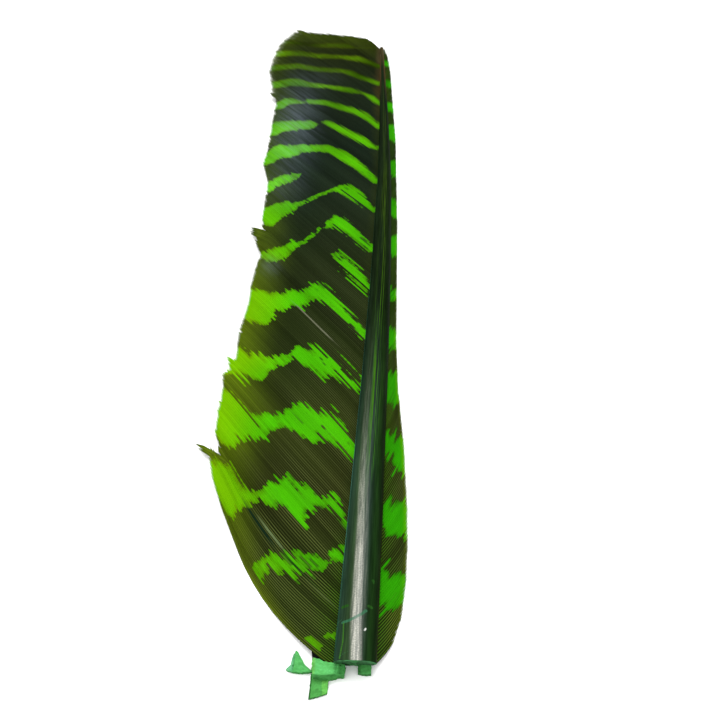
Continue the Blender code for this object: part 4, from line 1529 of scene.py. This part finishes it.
@dataclass
class NarrowVane(Vane):
    """The narrow vane, a few millimetres wide, with short steep barbs."""

    name: str = "narrow_vane"
    side: Side = Side.NARROW
    seed: int = 23
    segments: int = 16
    dye: Dye = Dye(
        plain_share=0.85, olive_run=((0, 1), (1, 1)), inner_share=0.6, yellow_run=1.2,
        yellow_strength=0.7, by_shaft_strength=0.4, rim_run=0.4, line_strength=1.3,
        green_reach=14.0, green_from=60.0, first_share=1.0,
    )
    pitch: Stations = ((0, 0.8), (20, 0.86), (46, 0.97), (100, 0.95), (200, 0.85), (243, 0.7))
    jag: float = 0.6
    end_jitter: Stations = ((0, 0.1), (243, 0.3))
    tip_fall: float = 0.8
    tip_run: Stations = ((0, 1.0), (30, 1.3), (243, 1.3))
    tip_width: float = 0.12
    streaky: Stations = ((0, 1.0), (60, 1.0))
    dashes: Stations = ((0, 0.3), (4, 0.3), (9, 0.1), (60, 0.0))
    outline: Stations = (
        (0.0, -1.5), (4.4, -1.5), (7.4, 5.8), (9.0, 11.6), (9.9, 20.0), (10.2, 28.0), (10.1, 38.0),
        (9.2, 57.0), (7.7, 75.0), (7.1, 92.0), (6.9, 140.0), (5.9, 187.0), (3.6, 228.0),
        (2.4, 239.0), (1.0, 244.3), (0.0, 244.5),
    )
    root_angle: Stations = ((0, 40), (10, 39), (22, 35), (32, 31), (45, 25), (60, 21), (100, 19), (243, 20))
    edge_angle: Stations = ((0, 26), (15, 25), (30, 19), (45, 14), (60, 11), (100, 11), (243, 14))
    turn: Stations = ((0, 6), (12, 9), (60, 12), (243, 12))
    bars: tuple[Bar, ...] = (
        *(
            Bar(((4.0, low + 0.8, high - 1.2), (10.0, low - 1.6, high + 2.6)))
            for low, high in (
                (230.7, 236.6), (217.1, 223.9), (201.9, 209.6), (185.0, 195.9), (165.1, 175.0),
                (143.5, 153.5), (125.7, 136.3),
            )
        ),
        Bar(((4.5, 107.6, 112.2), (7.5, 107.0, 113.0))),
        Bar(((4.5, 88.9, 96.2), (7.5, 88.2, 96.0))),
        Bar(((4.5, 68.2, 80.1), (6.5, 69.0, 80.2), (8.0, 69.8, 79.4))),
        Bar(((4.5, 50.9, 60.4), (7.4, 50.4, 58.8), (9.5, 49.4, 59.2))),
        Bar(((4.0, 34.2, 37.6), (6.3, 31.5, 38.7), (10.1, 30.3, 41.2))),
        Bar(((4.0, 13.6, 22.8), (6.5, 12.4, 20.4), (8.5, 12.7, 21.9), (10.0, 13.2, 20.5))),
    )


# ---------------------------------------------------------------- the cut end


@dataclass(frozen=True)
class Patch:
    """A part of a shred with other tints: what lies to the left of the way from start to end."""

    start: Point
    end: Point
    light: Colour
    shade: Colour
    blur: float = 0.1


@dataclass(frozen=True)
class Shred:
    """A torn piece of pith: its outline seen from above with the height of its top, and its tints.

    The outline runs anticlockwise. The folds are creases in its top: the ends
    of each, how deep it is and how wide."""

    name: str
    outline: tuple[Triple, ...]
    light: Colour
    shade: Colour
    wall: Colour
    ragged: float = 0.05
    ridge: float = 0.0
    patches: tuple[Patch, ...] = ()
    folds: tuple[tuple[Point, Point, float, float], ...] = ()


@dataclass
class CutEnd:
    """The pith in the cut shaft, and the torn shreds that hang on to it."""

    course: Course
    shaft: Shaft
    seed: int = 5
    around: int = 120
    # The rings of a shred, from the middle of its foot out and back over its top:
    # the size of each, and its height as a share of the top.
    rings: Stations = (
        (0.15, 0.0), (0.6, 0.0), (0.97, 0.0), (1.0, 0.12), (1.0, 0.5), (1.0, 0.84), (0.985, 0.97),
        (0.95, 1.0),
        (0.88, 1.0), (0.78, 1.0), (0.66, 1.0), (0.54, 1.0), (0.42, 1.0), (0.3, 1.0), (0.18, 1.0),
        (0.07, 1.0),
    )
    foot: float = 0.03
    bumps: float = 0.045
    least_top: float = 0.05
    # Where a shred's wall ends below its top, how much of the darker wall tint, painted shade, it
    # has, and how much the tints change round a shred.
    wall_ramp: Point = (0.86, 0.12)
    wall_share: float = 0.85
    uneven_tint: float = 0.08
    # The waves round a shred of its ragged rim and of its bumps are fewer than these.
    rag_waves: int = 26
    bump_waves: int = 10
    # The rings of the plug, from inside the shaft out and in over its face: the size of each, how
    # far it stands forward and how pale it is.
    plug_rings: tuple[Triple, ...] = (
        (0.93, 2.5, 0.0), (0.975, 0.2, 0.0), (0.99, -0.05, 0.5), (0.975, -0.1, 1.0), (0.93, -0.12, 0.45),
        (0.85, -0.12, 0.0), (0.7, -0.1, 0.0), (0.5, -0.08, 0.0), (0.3, -0.1, 0.0), (0.1, -0.08, 0.0),
    )
    plug_dents: float = 0.05
    plug_waves: float = 0.025
    # The waves round the plug of its dents, its streaks and its rim's paleness are fewer than these.
    plug_counts: tuple[int, int, int] = (14, 30, 24)
    # How its tone changes round it, and the least and the greatest tone. The rim's paleness: its
    # mean and its change, and the least and the greatest. And its tints where it is light and dark.
    plug_tone: Triple = (0.35, 0.4, 1.7)
    plug_pale: tuple[float, float, float, float] = (0.55, 0.35, 0.1, 1.0)
    plug_contrast: Point = (1.15, 0.8)
    plug_tint: Colour = (0.026, 0.130, 0.036)
    plug_rim: Colour = (0.070, 0.280, 0.100)
    shreds: tuple[Shred, ...] = (
        Shred(
            "tab",
            ((0.55, 1.5, 1.1), (0.58, -1.55, 1.05), (1.7, -1.75, 1.0), (3.12, -1.68, 1.05), (3.08, 1.5, 1.1)),
            (0.095, 0.44, 0.105), (0.070, 0.35, 0.075), (0.030, 0.16, 0.035), 0.04,
            patches=(Patch((1.15, -2.0), (1.05, 2.0), (0.050, 0.26, 0.055), (0.035, 0.19, 0.040), 0.25),),
        ),
        Shred(
            "flap",
            (
                (-8.30, 1.05, 1.6), (-8.36, -0.5, 1.65), (-8.34, -1.9, 1.7), (-8.05, -3.05, 1.7),
                (-6.8, -3.20, 1.75),
                (-5.46, -3.22, 1.75), (-4.3, -2.85, 1.8), (-3.2, -2.50, 1.9), (-2.02, -2.46, 2.0),
                (-1.95, -1.4, 2.1),
                (-1.9, -0.5, 2.1), (-2.9, -0.15, 1.95), (-4.5, 0.02, 1.8), (-6.2, 0.22, 1.7),
                (-7.07, 0.86, 1.62),
            ),
            (0.135, 0.60, 0.160), (0.105, 0.49, 0.115), (0.048, 0.26, 0.050), 0.09,
            patches=(
                Patch((-7.75, -3.5), (-7.75, 2.0), (0.17, 0.56, 0.12), (0.10, 0.40, 0.07), 0.3),
                Patch((-7.1, -2.55), (-9.0, -2.3), (0.050, 0.27, 0.055), (0.034, 0.19, 0.036), 0.25),
                Patch((-1.5, -2.1), (-7.1, -2.75), (0.050, 0.27, 0.055), (0.034, 0.19, 0.036), 0.25),
                Patch((-3.1, 2.0), (-3.6, -3.5), (0.072, 0.38, 0.082), (0.045, 0.25, 0.050), 0.3),
            ),
            folds=(
                ((-3.45, 0.3), (-3.75, -2.7), 0.34, 0.22),
                ((-2.75, 0.1), (-2.9, -2.5), 0.22, 0.18),
                ((-6.6, 0.6), (-6.0, -0.7), 0.10, 0.3),
            ),
        ),
        Shred(
            "strip",
            (
                (-8.45, -1.9, 0.8), (-8.50, -3.4, 0.7), (-8.54, -5.2, 0.62), (-8.62, -6.98, 0.5),
                (-8.3, -6.92, 0.52),
                (-6.81, -6.42, 0.6), (-5.12, -5.80, 0.62), (-5.04, -4.4, 0.7), (-5.02, -1.9, 0.8),
            ),
            (0.092, 0.42, 0.085), (0.068, 0.33, 0.060), (0.020, 0.12, 0.022), 0.05,
            patches=(
                Patch((-6.33, -1.0), (-6.08, -7.0), (0.15, 0.56, 0.095), (0.12, 0.46, 0.07), 0.05),
                # Painted shadow along the strip's left edge.
                Patch((-8.34, -7.5), (-8.25, -1.0), (0.030, 0.16, 0.030), (0.020, 0.11, 0.020), 0.07),
            ),
            folds=(((-6.33, -1.5), (-6.10, -6.6), 0.10, 0.10), ((-7.9, -4.4), (-6.7, -3.9), 0.12, 0.25)),
        ),
        Shred(
            "wedge",
            (
                (-11.75, 3.05, 0.5), (-12.17, 2.15, 0.5), (-12.45, 0.86, 0.5), (-12.48, 0.05, 0.5),
                (-13.02, -0.53, 0.42),
                (-13.46, -1.05, 0.35), (-12.9, -1.45, 0.55), (-11.96, -1.66, 0.75), (-10.4, -1.80, 0.8),
                (-9.05, -1.68, 0.75),
                (-8.2, -1.45, 0.7), (-9.75, -0.10, 0.6), (-10.65, 1.46, 0.55), (-11.23, 2.61, 0.5),
            ),
            (0.110, 0.50, 0.130), (0.080, 0.42, 0.095), (0.040, 0.24, 0.045), 0.035, 0.28,
            # Painted light: the wedge's left facet is paler than its right.
            patches=(Patch((-12.15, -2.2), (-11.85, 3.2), (0.20, 0.58, 0.29), (0.12, 0.45, 0.18), 0.06),),
            folds=(((-12.1, -1.3), (-11.95, 2.6), 0.3, 0.12), ((-12.7, -0.9), (-12.3, 0.6), 0.12, 0.12)),
        ),
        Shred(
            # A near-black sheet in the gap between the flap and the wide vane's lower end.
            "skin",
            (
                (-8.80, 4.6, 0.5), (-8.42, 1.2, 0.6), (-6.6, 1.0, 0.7), (-4.3, 0.6, 0.8), (-4.3, 2.2, 0.7),
                (-6.8, 4.2, 0.5),
            ),
            (0.003, 0.005, 0.003), (0.003, 0.005, 0.003), (0.003, 0.005, 0.003), 0.03,
        ),
    )

    def plug(self, finish: bpy.types.Material) -> None:
        """Build the pith that fills the cut shaft.

        It is the shaft's own section, drawn in towards its middle from ring to
        ring: a back ring inside the shaft, the rim, and a face with small
        random dents. The rim is paler than the face.

        Args:
            finish: the pith's material.
        """
        rng = np.random.default_rng(self.seed)
        angle = np.linspace(0, 2 * math.pi, self.around, endpoint=False)
        rim = self.shaft.surface(np.zeros(1), angle)[0]
        centre = np.array([0.0, rim[:, 1].mean(), rim[:, 2].mean()])
        sizes, forward, pale = np.array(self.plug_rings).T
        dents, streaks, patches = self.plug_counts
        rings = centre + (rim - centre) * sizes[:, None, None]
        rings[..., 1] += forward[:, None]
        waves = np.stack([self.round_waves(rng, len(angle), dents) for _ in sizes])
        rings[2:, :, 1] += self.plug_dents * waves[2:]
        rings[1:5, :, 2] += self.plug_waves * waves[1:5]
        rings[..., 2] = np.clip(rings[..., 2], 0.0, self.course.height[0][1])
        change, least, most = self.plug_tone
        tone = np.clip(1 + change * self.round_waves(rng, len(angle), streaks), least, most)
        tint = np.array(self.plug_tint) * tone[None, :, None]
        mean, change, least, most = self.plug_pale
        patchy = mean + change * self.round_waves(rng, len(angle), patches)
        pale = pale[:, None] * np.clip(patchy, least, most)
        tint = mixed(np.broadcast_to(tint, rings.shape), self.plug_rim, pale)
        layers = {name: tint * share for name, share in zip(("light", "shade"), self.plug_contrast)}
        piece = new_piece("cut_pith", rings, tube_faces(1, *rings.shape[:2]), layers, finish, 60.0)
        put_in_place(piece)

    @staticmethod
    def round_waves(rng: np.random.Generator, count: int, most: int) -> Floats:
        """Random waves round a closed ring, with a spread of 1.

        It is the sum of cosines with 2 or more waves round the ring, each with
        its own phase and strength.

        Args:
            rng: the random draws.
            count: how many places there are round the ring.
            most: the number of waves to stop before.

        Returns:
            A value for each place.
        """
        angle = np.linspace(0, 2 * math.pi, count, endpoint=False)
        waves = np.arange(2, most)[:, None]
        strength = rng.normal(size=waves.shape) / np.sqrt(waves)
        phase = rng.uniform(0, 2 * math.pi, waves.shape)
        total = (strength * np.cos(waves * angle + phase)).sum(axis=0)
        return total / total.std()

    def torn(self, shred: Shred, finish: bpy.types.Material, rng: np.random.Generator) -> None:
        """Build one shred.

        Its outline is drawn in towards its middle in rings, which make a foot,
        a nearly upright wall and a top. The top's height at a point is the
        outline's height there, blended with the mean height towards the
        middle, with a low peak, small bumps and the folds taken off.

        Args:
            shred: the shred.
            finish: the pith's material.
            rng: the random draws.
        """
        corner = np.array(shred.outline)
        closed = np.vstack([corner, corner[:1]])
        length = np.concatenate([[0], np.cumsum(np.linalg.norm(np.diff(closed[:, :2], axis=0), axis=1))])
        at = np.linspace(0, length[-1], self.around, endpoint=False)
        rim = np.stack([np.interp(at, length, closed[:, i]) for i in range(3)], axis=-1)
        middle = rim.mean(axis=0)
        outward = rim[:, :2] - middle[:2]
        outward /= np.linalg.norm(outward, axis=-1, keepdims=True)

        size, share = np.array(self.rings).T[..., None]
        plan = middle[:2] + (rim[:, :2] - middle[:2]) * size[..., None]
        rag = np.stack([self.round_waves(rng, self.around, self.rag_waves) for _ in self.rings])
        plan = plan + outward * (shred.ragged * rag * size**6)[..., None]
        top = middle[2] + (rim[:, 2] - middle[2]) * size + shred.ridge * (1 - size)
        bumps = np.stack([self.round_waves(rng, self.around, self.bump_waves) for _ in self.rings])
        top = top + self.bumps * bumps * size
        for start, end, deep, wide in shred.folds:
            top = top - deep * bell(off_edge(plan, (start, end)), 0, wide)
        z = self.foot + np.maximum(top - self.foot, self.least_top) * share
        rings = np.concatenate([plan, z[..., None]], axis=-1)

        # The walls are darkened towards the wall tint: painted shade.
        on_wall = self.wall_share * np.broadcast_to(fade(share, *self.wall_ramp), z.shape)
        layers = {}
        for name in ("light", "shade"):
            values = np.broadcast_to(np.array(getattr(shred, name)), rings.shape)
            # Patches give parts of the top other tints, among them painted light and painted shadow.
            for patch in shred.patches:
                way = np.array(patch.end) - np.array(patch.start)
                off = plan - np.array(patch.start)
                left = (way[0] * off[..., 1] - way[1] * off[..., 0]) / np.linalg.norm(way)
                values = mixed(values, getattr(patch, name), smooth_step(left / patch.blur + 0.5))
            values = mixed(values, shred.wall, on_wall)
            layers[name] = values * (1 + self.uneven_tint * rag)[..., None]
        piece = new_piece(f"{shred.name}_shred", rings, tube_faces(1, *rings.shape[:2]), layers, finish, 50.0)
        put_in_place(piece)

    def build(self, finish: bpy.types.Material) -> None:
        """Build the plug, and every shred in turn.

        Args:
            finish: the pith's material.
        """
        self.plug(finish)
        rng = np.random.default_rng(self.seed + 1)
        for shred in self.shreds:
            self.torn(shred, finish, rng)


# ---------------------------------------------------------------- the studio


@dataclass
class Studio:
    """A pale floor, soft light and the camera."""

    floor_side: float = 4.0
    floor_tint: Colour = (0.97, 0.97, 0.97)
    floor_roughness: float = 0.9
    floor_shine: float = 0.1
    # The camera: where it is, in metres, and how far it looks down and turns left, in radians.
    eye: Triple = (0.018971, -0.218698, 0.179323)
    down: float = 0.7829477
    turn: float = 0.0361452
    lens: float = 50.0
    sensor: float = 36.0
    nearest: float = 0.005
    furthest: float = 20.0
    # Each lamp: where it is, what it looks at, its side and its power.
    lamps: tuple[tuple[Triple, Triple, float, float], ...] = (
        ((0.0, 0.48, 1.04), (0.0, -0.08, 0.0), 0.62, 7.5),
        ((-1.1, -0.7, 0.9), (0.0, 0.0, 0.0), 1.0, 3.0),
    )
    # The strength of the plain white light from all round.
    world: float = 1.3

    def hold(self, data: bpy.types.ID, place: Triple, turned: Triple) -> bpy.types.Object:
        """Put a lamp or the camera into the scene at a place, turned by angles about X, Y and Z."""
        holder = bpy.data.objects.new(data.name, data)
        holder.location, holder.rotation_euler = place, turned
        bpy.context.scene.collection.objects.link(holder)
        return holder

    def build(self) -> None:
        """Set up the floor, the lamps, the surroundings and the camera."""
        scene = bpy.context.scene
        mesh = bpy.data.meshes.new("floor")
        half = self.floor_side / 2
        corners = [(-half, -half, 0), (half, -half, 0), (half, half, 0), (-half, half, 0)]
        mesh.from_pydata(corners, [], [(0, 1, 2, 3)])
        tint = Recipe("pale_floor").finish(
            Base_Color=self.floor_tint, Roughness=self.floor_roughness, Specular_IOR_Level=self.floor_shine
        )
        mesh.materials.append(tint)
        floor = bpy.data.objects.new("floor", mesh)
        scene.collection.objects.link(floor)
        for number, (place, target, side, power) in enumerate(self.lamps):
            lamp = bpy.data.lights.new(f"soft_light_{number}", "AREA")
            lamp.size, lamp.energy = side, power
            x, y, z = np.array(place) - np.array(target)
            self.hold(lamp, place, (math.atan2(math.hypot(x, y), z), 0.0, math.atan2(y, x) + math.pi / 2))
        world = bpy.data.worlds.new("pale_room")
        world.use_nodes = True
        background = world.node_tree.nodes["Background"].inputs
        background["Color"].default_value = (1.0, 1.0, 1.0, 1.0)
        background["Strength"].default_value = self.world
        scene.world = world
        scene.view_settings.view_transform = "Standard"
        camera = bpy.data.cameras.new("camera")
        camera.lens, camera.sensor_width = self.lens, self.sensor
        camera.clip_start, camera.clip_end = self.nearest, self.furthest
        scene.camera = self.hold(camera, self.eye, (math.pi / 2 - self.down, 0.0, self.turn))


def main() -> None:
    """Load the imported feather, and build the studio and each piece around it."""
    logging.basicConfig(level=logging.INFO, format="%(name)s: %(message)s")
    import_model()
    Studio().build()
    course = Course()
    barbs = BarbFinish().make()
    pith = PithFinish().make()
    shaft = Shaft(course)
    shaft.build(HornFinish().make())
    WideVane(course).build(barbs)
    NarrowVane(course).build(barbs)
    CutEnd(course, shaft).build(pith)


if __name__ == "__main__":
    main()
